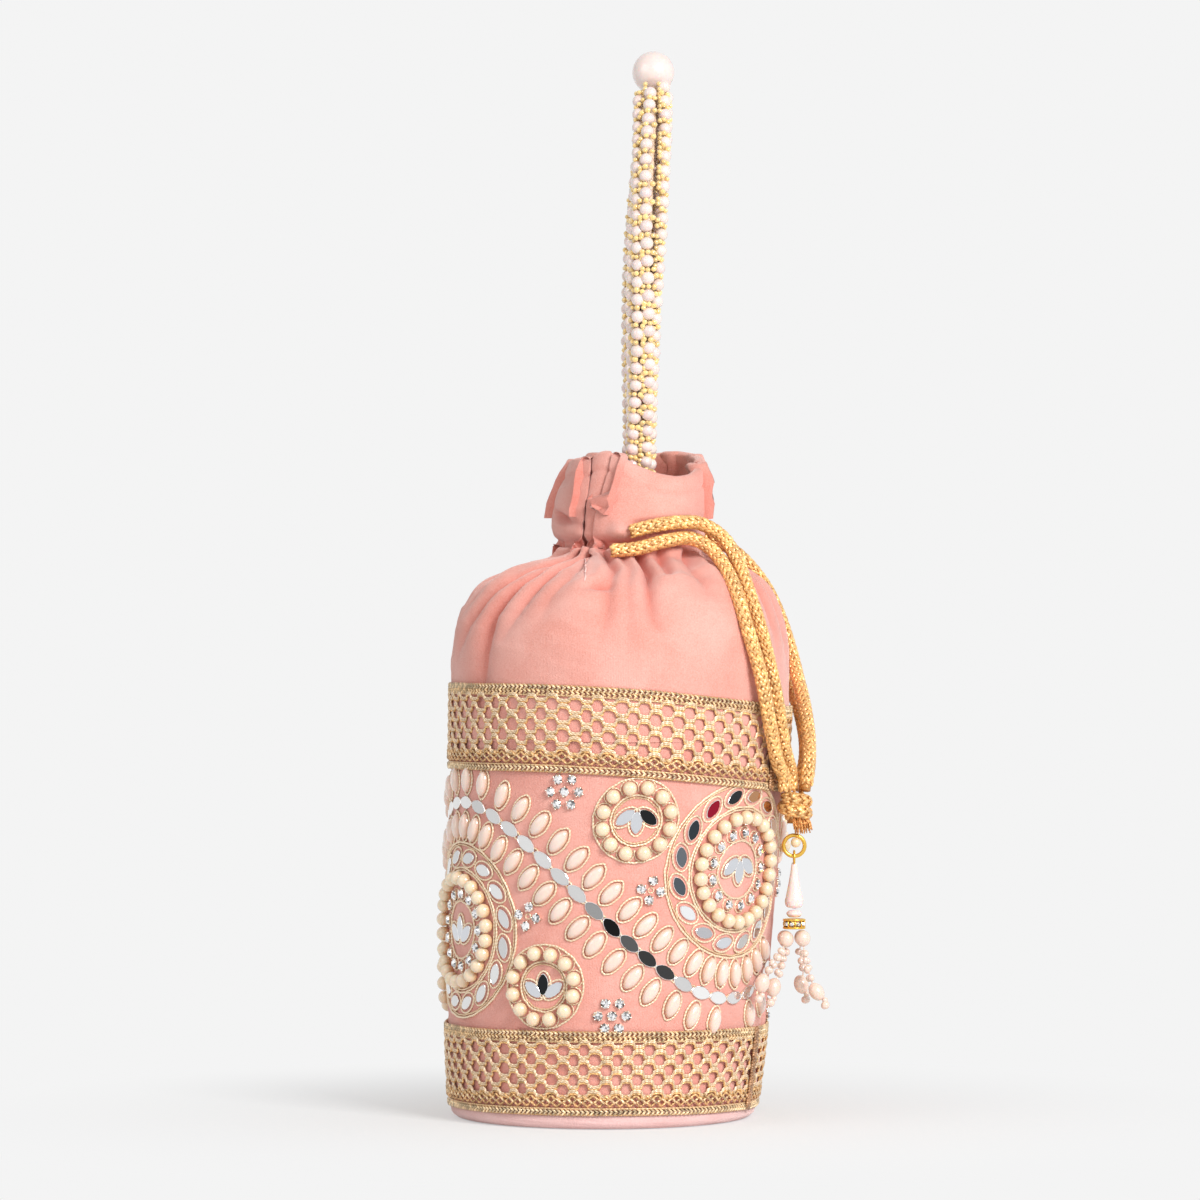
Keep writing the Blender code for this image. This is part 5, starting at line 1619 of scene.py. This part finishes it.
def string_leg(side, seed):
    """Strings one leg of the handle: its pearls, its seed beads and the threads under them."""
    chance = random.Random(seed)
    route = smooth_rows([(x, y * side, z) for x, y, z in HANDLE_ROUTE], 16)
    upwards = np.clip((route[:, 2] - 0.190) / 0.085, 0.0, 1.0)
    route[:, 0] += (0.0002 if side > 0.0 else -0.0017) * np.sin(math.pi * upwards)
    pearls, seeds, threads = Bundle(), Bundle(), Bundle()
    along, across, out = frames_along(route)
    travelled = np.concatenate([[0.0], np.cumsum(np.linalg.norm(np.diff(route, axis=0), axis=1))])
    total = travelled[-1]

    def place(spot, turn, reach):
        centre = np.array([np.interp(spot, travelled, route[:, k]) for k in range(3)])
        near = min(len(route) - 1, int(np.searchsorted(travelled, spot)))
        outwards = across[near] * math.cos(turn) + out[near] * math.sin(turn)
        return centre + outwards * reach, outwards

    threads.tube(route, 0.0011, 8, tone=(1.0, 0.92, 0.8))
    for strand in range(STRANDS):
        first_turn = 2.0 * math.pi * (strand + 0.15) / STRANDS
        slide = chance.uniform(0.2, 0.8) * PEARL_PITCH
        waver = chance.uniform(0.0, 2.0 * math.pi)
        line = []
        spot = 0.0052 + slide
        while spot < total - 0.0005:
            lean = 0.55 * math.sin(spot / 0.021 + waver) + 0.9 * spot / total
            turn = first_turn + lean * 0.55
            reach = STRAND_RADIUS + 0.00028 * math.sin(spot / 0.013 + 2.0 * waver)
            reach += 0.0007 * min(1.0, max(0.0, (spot - 0.022) / 0.05))
            centre, _ = place(spot, turn, reach)
            line.append(centre)
            size = HANDLE_PEARL * chance.uniform(0.93, 1.0)
            glow = chance.uniform(0.94, 1.03)
            tone = (glow, glow * chance.uniform(0.97, 1.0), glow * chance.uniform(0.96, 1.0))
            scatter_ball(pearls, PEARL_BALL, centre, size, any_turn(chance), tone)
            between = spot + 0.5 * PEARL_PITCH
            for offset, out_by in ((-0.42, 0.00052), (0.0, 0.00085), (0.42, 0.00052)):
                if between > total - 0.002:
                    continue
                spread = turn + offset + chance.uniform(-0.06, 0.06)
                drift = between + chance.uniform(-0.00025, 0.00025)
                bead, _ = place(drift, spread, reach + out_by * chance.uniform(0.7, 1.1))
                warm = chance.uniform(0.82, 1.08)
                shape_size = SEED_BEAD * chance.uniform(0.88, 1.1) * np.array((1.0, 1.0, 0.82))
                scatter_ball(seeds, SEED_BALL, bead, shape_size, any_turn(chance), (warm, warm * 0.98, warm * 0.9))
            side_turn = turn + math.pi / STRANDS
            for step in (0.1, 0.45, 0.8):
                if chance.random() < 0.72:
                    bead, _ = place(spot + step * PEARL_PITCH, side_turn, STRAND_RADIUS + 0.00035)
                    warm = chance.uniform(0.7, 1.0)
                    scatter_ball(seeds, SEED_BALL, bead, SEED_BEAD * 0.92, any_turn(chance), (warm, warm, warm))
            spot += PEARL_PITCH * chance.uniform(0.97, 1.04)
        foot, _ = place(0.0004, first_turn, 0.0006)
        threads.tube(np.array([foot, *line]), 0.00022, 5, tone=(1.0, 0.85, 0.6))
    return pearls, seeds, threads


SEED_BALL = ball_shape(9, 6)
handle_pearl = pearl_material("handle_pearl", (0.84, 0.71, 0.67), 0.28)


def seed_material():
    """Gold-lined glass seed beads: deeper gold face-on, and painted pale yellow towards their outlines by the angle
    they are seen at, a painted reflection.
    """
    material, nodes, links, shader = nodes_of("gold_seed_bead")
    facing = nodes.new("ShaderNodeLayerWeight")
    facing.inputs["Blend"].default_value = 0.45
    colours = nodes.new("ShaderNodeMix")
    colours.data_type = "RGBA"
    colours.inputs["A"].default_value = (0.93, 0.64, 0.24, 1.0)
    colours.inputs["B"].default_value = (1.0, 0.88, 0.58, 1.0)
    links.new(facing.outputs["Facing"], colours.inputs["Factor"])
    tone = nodes.new("ShaderNodeVertexColor")
    tone.layer_name = "tone"
    tinted = nodes.new("ShaderNodeMix")
    tinted.data_type = "RGBA"
    tinted.blend_type = "MULTIPLY"
    tinted.inputs["Factor"].default_value = 1.0
    links.new(colours.outputs["Result"], tinted.inputs["A"])
    links.new(tone.outputs["Color"], tinted.inputs["B"])
    links.new(tinted.outputs["Result"], shader.inputs["Base Color"])
    shader.inputs["Roughness"].default_value = 0.16
    shader.inputs["Metallic"].default_value = 0.1
    shader.inputs["Coat Weight"].default_value = 0.8
    shader.inputs["Coat Roughness"].default_value = 0.05
    return material


gold_seed = seed_material()
pale_thread = thread_material("pale_thread", (0.80, 0.62, 0.50), (0.95, 0.84, 0.72), 0.6, 0.0, 0.0008, 0.00006)
for side_name, side in (("front", 1.0), ("back", -1.0)):
    pearls, seeds, threads = string_leg(side, 41 if side > 0.0 else 57)
    strung = pearls.piece("handle_pearls_" + side_name, handle_pearl, "handle", "pearl")
    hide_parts("handle_rope_" + side_name)
    seeds.piece("handle_seed_beads_" + side_name, gold_seed, "handle", "pearl")
    threads.piece("handle_threads_" + side_name, pale_thread, "handle", "pearl")

crown = Bundle()
crown_shape = ball_shape(40, 26)
scatter_ball(crown, crown_shape, np.array(TOP_PEARL_CENTRE), TOP_PEARL_RADIUS, np.eye(3), (1.0, 1.0, 1.0))
great_pearl = crown.piece("great_pearl", handle_pearl, "handle", "pearl")
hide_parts("top_pearl")
crown_beads = Bundle()
crown_chance = random.Random(5)
for count, ring_radius, height in ((8, 0.0026, 0.00555), (1, 0.0, 0.0061)):
    for k in range(count):
        angle = 2.0 * math.pi * k / count
        spot = np.array(TOP_PEARL_CENTRE)
        spot += (ring_radius * math.cos(angle), ring_radius * math.sin(angle), -height)
        scatter_ball(crown_beads, SEED_BALL, spot, SEED_BEAD, any_turn(crown_chance), (1.0, 0.97, 0.9))
crown_beads.piece("great_pearl_seed_beads", gold_seed, "handle", "pearl")

# The tassel: a gold ring through the knot's thread eye, with a small pearl in it, carries a long rosy drop
# on a wire eye, a bead and a gold rondelle set with stones. Four strings of small pearls hang from that.
RING_CENTRE = np.array((0.0487, -0.0186, 0.0760))
RING_RADIUS = 0.0029
RING_WIRE = 0.00056
EYE_RADIUS = 0.0018
EYE_SHIFT = 0.0003
TASSEL_AXIS = (0.0487, -0.0186)
DROP_PROFILE = [
    (0.0003, 0.0714),
    (0.0007, 0.0711),
    (0.0010, 0.0690),
    (0.0016, 0.0655),
    (0.0023, 0.0622),
    (0.0026, 0.0605),
    (0.0021, 0.0591),
    (0.0004, 0.0586),
]
SPACER_PROFILE = [
    (0.0004, 0.0583),
    (0.0015, 0.0581),
    (0.0022, 0.0572),
    (0.0015, 0.0563),
    (0.0004, 0.0562),
]
RONDELLE_RIMS = (0.0555, 0.0533)
RONDELLE_RADIUS = 0.0029
STONES = 9
BEAD_STRINGS = [
    [(51.1, -20.0, 50.4), (51.5, -20.7, 46.5), (53.0, -21.2, 39.8), (54.8, -21.5, 35.8), (57.2, -21.9, 32.1)],
    [(50.9, -15.3, 50.4), (50.4, -15.2, 46.4), (51.3, -15.4, 41.8), (50.8, -15.2, 37.4), (52.0, -15.4, 33.2)],
    [(46.4, -20.6, 50.2), (45.0, -22.8, 47.0), (41.6, -26.2, 42.0), (39.6, -28.4, 38.6), (38.6, -28.8, 34.3)],
    [(46.2, -15.8, 50.4), (46.2, -17.4, 46.6), (44.4, -20.0, 40.7), (42.9, -21.8, 37.0), (42.0, -22.8, 32.8)],
]


def turned_shape(bundle, profile, steps, columns, axis, tone=(1.0, 1.0, 1.0)):
    """A turned piece about an upright axis, from radii and heights down its outer side."""
    rows = smooth_rows(profile, steps)
    turn = 2.0 * math.pi * np.arange(columns) / columns
    rings = np.stack(
        [
            axis[0] + rows[:, 0][:, None] * np.cos(turn),
            axis[1] + rows[:, 0][:, None] * np.sin(turn),
            rows[:, 1][:, None] + 0.0 * turn,
        ],
        axis=2,
    )
    count = len(rows)
    faces = []
    for i in range(count - 1):
        for k in range(columns):
            m = (k + 1) % columns
            faces.append((i * columns + k, (i + 1) * columns + k, (i + 1) * columns + m, i * columns + m))
    faces.append(tuple(range(columns)))
    faces.append(tuple((count - 1) * columns + k for k in range(columns))[::-1])
    bundle.add(rings.reshape(-1, 3), faces, tone)


def wire_loop(centre, radius, axis, count=48):
    """Points of a round loop of wire. The axis is the direction that the loop is seen round from."""
    turn = 2.0 * math.pi * np.arange(count) / count
    first, second = {"y": ((1, 0, 0), (0, 0, 1)), "x": ((0, 1, 0), (0, 0, 1))}[axis]
    return centre + radius * (np.cos(turn)[:, None] * np.array(first) + np.sin(turn)[:, None] * np.array(second))


def gold_material():
    material, nodes, links, shader = nodes_of("polished_gold")
    wear = nodes.new("ShaderNodeTexNoise")
    wear.inputs["Scale"].default_value = 900.0
    wear.inputs["Detail"].default_value = 4.0
    colours = nodes.new("ShaderNodeMix")
    colours.data_type = "RGBA"
    colours.inputs["A"].default_value = (0.78, 0.42, 0.04, 1.0)
    colours.inputs["B"].default_value = (0.98, 0.66, 0.16, 1.0)
    links.new(wear.outputs["Fac"], colours.inputs["Factor"])
    links.new(colours.outputs["Result"], shader.inputs["Base Color"])
    dulled = nodes.new("ShaderNodeMapRange")
    dulled.inputs["To Min"].default_value = 0.12
    dulled.inputs["To Max"].default_value = 0.3
    links.new(wear.outputs["Fac"], dulled.inputs["Value"])
    links.new(dulled.outputs["Result"], shader.inputs["Roughness"])
    shader.inputs["Metallic"].default_value = 0.92
    return material


def rosy_material():
    """Moulded rosy resin: milky and a little clear, with a clear gloss."""
    material, nodes, links, shader = nodes_of("rosy_drop")
    veins = nodes.new("ShaderNodeTexNoise")
    veins.inputs["Scale"].default_value = 260.0
    colours = nodes.new("ShaderNodeMix")
    colours.data_type = "RGBA"
    colours.inputs["A"].default_value = (0.88, 0.66, 0.61, 1.0)
    colours.inputs["B"].default_value = (0.94, 0.80, 0.76, 1.0)
    links.new(veins.outputs["Fac"], colours.inputs["Factor"])
    links.new(colours.outputs["Result"], shader.inputs["Base Color"])
    shader.inputs["Roughness"].default_value = 0.12
    shader.inputs["Subsurface Weight"].default_value = 0.5
    shader.inputs["Subsurface Scale"].default_value = 0.0015
    shader.inputs["Coat Weight"].default_value = 0.8
    shader.inputs["Coat Roughness"].default_value = 0.04
    return material


polished_gold = gold_material()
rosy_drop = rosy_material()


def hang(bundle, name, material, body, slot, node=None, smooth=True):
    """Makes one piece of the tassel on its body, and hides the imported part it stands in for, if one is named."""
    made = bundle.piece(name, material, body, slot, smooth)
    if node:
        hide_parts(node)
    return made


ring = Bundle()
ring.tube(wire_loop(RING_CENTRE, RING_RADIUS, "y"), RING_WIRE, 12, closed=True)
hang(ring, "gold_ring", polished_gold, "ring", "gold", "tassel_ring")
ring_bead = Bundle()
scatter_ball(ring_bead, PEARL_BALL, RING_CENTRE + (0.0004, -0.0002, 0.0009), 0.0014, np.eye(3), (1.0, 0.96, 0.86))
hang(ring_bead, "ring_pearl", ivory_pearl, "ring", "pearl")

drop = Bundle()
turned_shape(drop, DROP_PROFILE, 5, 28, TASSEL_AXIS)
hang(drop, "rosy_drop", rosy_drop, "pendant", "pearl", "tassel_drop")
bail = Bundle()
bail.tube(wire_loop(RING_CENTRE - (0, 0, RING_RADIUS + EYE_SHIFT), EYE_RADIUS, "x", 32), 0.0003, 8, closed=True)
hang(bail, "drop_bail", polished_gold, "pendant", "gold")
spacer = Bundle()
turned_shape(spacer, SPACER_PROFILE, 5, 24, TASSEL_AXIS)
hang(spacer, "spacer_bead", rosy_drop, "pendant", "pearl", "tassel_spacer")

rondelle = Bundle()
turned_shape(
    rondelle, [(0.0004, 0.0557), (0.0024, 0.0557), (0.0024, 0.0531), (0.0004, 0.0531)], 1, 28, TASSEL_AXIS
)
for height in RONDELLE_RIMS:
    rim_centre = np.array((*TASSEL_AXIS, height))
    turn = 2.0 * math.pi * np.arange(48) / 48
    rim_line = rim_centre + RONDELLE_RADIUS * np.stack([np.cos(turn), np.sin(turn), 0.0 * turn], axis=1)
    rondelle.tube(rim_line, 0.00030, 8, closed=True)
stones = Bundle()
facets = random.Random(11)
for k in range(STONES):
    angle = 2.0 * math.pi * (k + 0.35) / STONES
    outwards = np.array((math.cos(angle), math.sin(angle), 0.0))
    sideways = np.array((-math.sin(angle), math.cos(angle), 0.0))
    upright = np.array((0.0, 0.0, 1.0))
    middle = np.array((*TASSEL_AXIS, 0.5 * sum(RONDELLE_RIMS)))
    for wedge in range(8):
        first, second = (2.0 * math.pi * (wedge + step) / 8 for step in (0, 1))
        rim = [
            middle + outwards * 0.0026 + 0.00088 * (sideways * math.cos(a) + upright * math.sin(a))
            for a in (first, second)
        ]
        top = [
            middle + outwards * 0.0031 + 0.00045 * (sideways * math.cos(a) + upright * math.sin(a))
            for a in (first, second)
        ]
        shade = facets.choice((0.25, 0.45, 0.7, 0.95, 1.0))
        stones.add(np.array([rim[0], rim[1], top[1], top[0]]), [(0, 1, 2, 3)], (shade, shade, shade))
        shade = facets.choice((0.5, 0.9, 1.0))
        stones.add(np.array([top[0], top[1], middle + outwards * 0.00315]), [(0, 1, 2)], (shade, shade, shade))
    post = np.array([middle + outwards * 0.0027 + sideways * 0.00098 + upright * z for z in (-0.0012, 0.0012)])
    rondelle.tube(post, 0.0002, 6)
hang(rondelle, "rondelle_rims", polished_gold, "pendant", "gold", "tassel_rondelle")
hang(stones, "rondelle_stones", cut_crystal, "pendant", "gold", smooth=False)

for number, string in enumerate(BEAD_STRINGS, start=1):
    chance = random.Random(80 + number)
    head, first, last, oval, end = (np.array(place) / 1000.0 for place in string)
    beads = Bundle()
    body = f"bead_string_{number}"
    line = spaced_along(smooth_rows([head, first, last, oval], 10), 40)
    scatter_ball(beads, ball_shape(20, 13), head, np.array((0.0021, 0.0021, 0.0023)), any_turn(chance), (1, 0.98, 0.95))
    head_piece = hang(beads, f"strung_head_{number}", blush_pearl, body, "pearl", f"head_pearl_{number}")
    small = Bundle()
    reach = line_length(np.array([first, last]))
    count = round(reach / 0.0022) + 1
    way = (last - first) / np.linalg.norm(last - first)
    aside = np.cross(way, (0.0, 1.0, 0.0))
    aside /= np.linalg.norm(aside)
    for k in range(count):
        share = k / (count - 1)
        for offset in (-1.0, 1.0):
            centre = first + (last - first) * share
            centre = centre + aside * offset * chance.uniform(0.00018, 0.00040)
            centre = centre + np.array((0.0, chance.uniform(-0.0003, 0.0003), chance.uniform(-0.0003, 0.0003)))
            size = 0.00096 * chance.uniform(0.85, 1.12) * np.array((1.0, 1.0, chance.uniform(0.9, 1.25)))
            glow = chance.uniform(0.94, 1.03)
            scatter_ball(small, ball_shape(12, 8), centre, size, any_turn(chance), (glow, glow * 0.985, glow * 0.97))
    small.tube(line, 0.00018, 5, tone=(0.95, 0.85, 0.78))
    hang(small, f"strung_small_{number}", blush_pearl, body, "pearl", f"bead_row_{number}")
    rice = Bundle()
    along_oval = (end - oval) / np.linalg.norm(end - oval)
    spin = np.array(Vector((0.0, 0.0, 1.0)).rotation_difference(Vector(along_oval)).to_matrix())
    scatter_ball(rice, ball_shape(20, 14), oval, np.array((0.00205, 0.00205, 0.00268)), spin, (1.0, 0.97, 0.94))
    hang(rice, f"strung_oval_{number}", blush_pearl, body, "pearl", f"oval_pearl_{number}")
    last_bead = Bundle()
    scatter_ball(last_bead, ball_shape(14, 9), end, np.array((0.00128, 0.00128, 0.00115)), spin, (1.0, 0.98, 0.96))
    small_end = oval + along_oval * 0.0030 + aside * 0.0007
    scatter_ball(last_bead, ball_shape(12, 8), small_end, 0.00085, spin, (0.98, 0.96, 0.94))
    hang(last_bead, f"strung_end_{number}", blush_pearl, body, "pearl", f"end_bead_{number}")

# The floor and the light: a pale sheet, two large soft lamps and an even white sky. The camera, and
# whatever mirrors or clear beads show, see the photograph's pale grey behind the bag.
BACKDROP = 0.904
PAPER = 0.90


def make_floor():
    """A pale sheet that catches the bag's shadow near it, and fades into the sky's grey around it."""
    mesh = bpy.data.meshes.new("floor")
    sheet = bmesh.new()
    bmesh.ops.create_grid(sheet, x_segments=1, y_segments=1, size=4.0)
    sheet.to_mesh(mesh)
    sheet.free()
    floor = bpy.data.objects.new("floor", mesh)
    floor.location = (0.0, 0.0, -0.0002)
    bpy.context.scene.collection.objects.link(floor)
    material, nodes, links, shader = nodes_of("paper_floor")
    shader.inputs["Base Color"].default_value = (PAPER, PAPER, PAPER, 1.0)
    shader.inputs["Roughness"].default_value = 0.95
    shader.inputs["Specular IOR Level"].default_value = 0.0
    where = nodes.new("ShaderNodeTexCoord")
    reach = nodes.new("ShaderNodeVectorMath")
    reach.operation = "LENGTH"
    links.new(where.outputs["Object"], reach.inputs[0])
    fade = nodes.new("ShaderNodeMapRange")
    fade.interpolation_type = "SMOOTHSTEP"
    fade.inputs["From Min"].default_value = 0.05
    fade.inputs["From Max"].default_value = 0.20
    fade.inputs["To Min"].default_value = 0.45
    fade.inputs["To Max"].default_value = 1.0
    links.new(reach.outputs["Value"], fade.inputs["Value"])
    rays = nodes.new("ShaderNodeLightPath")
    seen = nodes.new("ShaderNodeMath")
    seen.operation = "ADD"
    seen.use_clamp = True
    links.new(rays.outputs["Is Camera Ray"], seen.inputs[0])
    links.new(rays.outputs["Is Glossy Ray"], seen.inputs[1])
    share = nodes.new("ShaderNodeMath")
    share.operation = "MULTIPLY"
    links.new(fade.outputs["Result"], share.inputs[0])
    links.new(seen.outputs["Value"], share.inputs[1])
    backdrop = nodes.new("ShaderNodeEmission")
    backdrop.inputs["Color"].default_value = (BACKDROP, BACKDROP, BACKDROP, 1.0)
    mixed = nodes.new("ShaderNodeMixShader")
    links.new(share.outputs["Value"], mixed.inputs["Fac"])
    links.new(shader.outputs["BSDF"], mixed.inputs[1])
    links.new(backdrop.outputs["Emission"], mixed.inputs[2])
    links.new(mixed.outputs["Shader"], nodes["Material Output"].inputs["Surface"])
    mesh.materials.append(material)


def make_sky():
    world = bpy.data.worlds.new("studio")
    bpy.context.scene.world = world
    world.use_nodes = True
    nodes, links = world.node_tree.nodes, world.node_tree.links
    nodes.clear()
    out = nodes.new("ShaderNodeOutputWorld")
    light = nodes.new("ShaderNodeBackground")
    light.inputs["Color"].default_value = (1.0, 1.0, 1.0, 1.0)
    light.inputs["Strength"].default_value = 0.52
    seen = nodes.new("ShaderNodeBackground")
    seen.inputs["Color"].default_value = (BACKDROP, BACKDROP, BACKDROP, 1.0)
    seen.inputs["Strength"].default_value = 1.0
    rays = nodes.new("ShaderNodeLightPath")
    either = nodes.new("ShaderNodeMath")
    either.operation = "ADD"
    either.use_clamp = True
    links.new(rays.outputs["Is Camera Ray"], either.inputs[0])
    links.new(rays.outputs["Is Glossy Ray"], either.inputs[1])
    clear = nodes.new("ShaderNodeMath")
    clear.operation = "ADD"
    clear.use_clamp = True
    links.new(either.outputs["Value"], clear.inputs[0])
    links.new(rays.outputs["Is Transmission Ray"], clear.inputs[1])
    mixed = nodes.new("ShaderNodeMixShader")
    links.new(clear.outputs["Value"], mixed.inputs["Fac"])
    links.new(light.outputs["Background"], mixed.inputs[1])
    links.new(seen.outputs["Background"], mixed.inputs[2])
    links.new(mixed.outputs["Shader"], out.inputs["Surface"])


def make_lamp(name, place, size, watts):
    data = bpy.data.lights.new(name, "AREA")
    data.size = size
    data.energy = watts
    lamp = bpy.data.objects.new(name, data)
    lamp.location = place
    lamp.rotation_euler = (Vector((0.0, 0.0, 0.12)) - Vector(place)).to_track_quat("-Z", "Y").to_euler()
    bpy.context.scene.collection.objects.link(lamp)


make_floor()
make_sky()
make_lamp("key", (0.75, -1.25, 0.85), 0.55, 22.0)
make_lamp("fill", (-1.2, -0.9, 0.8), 1.0, 3.0)
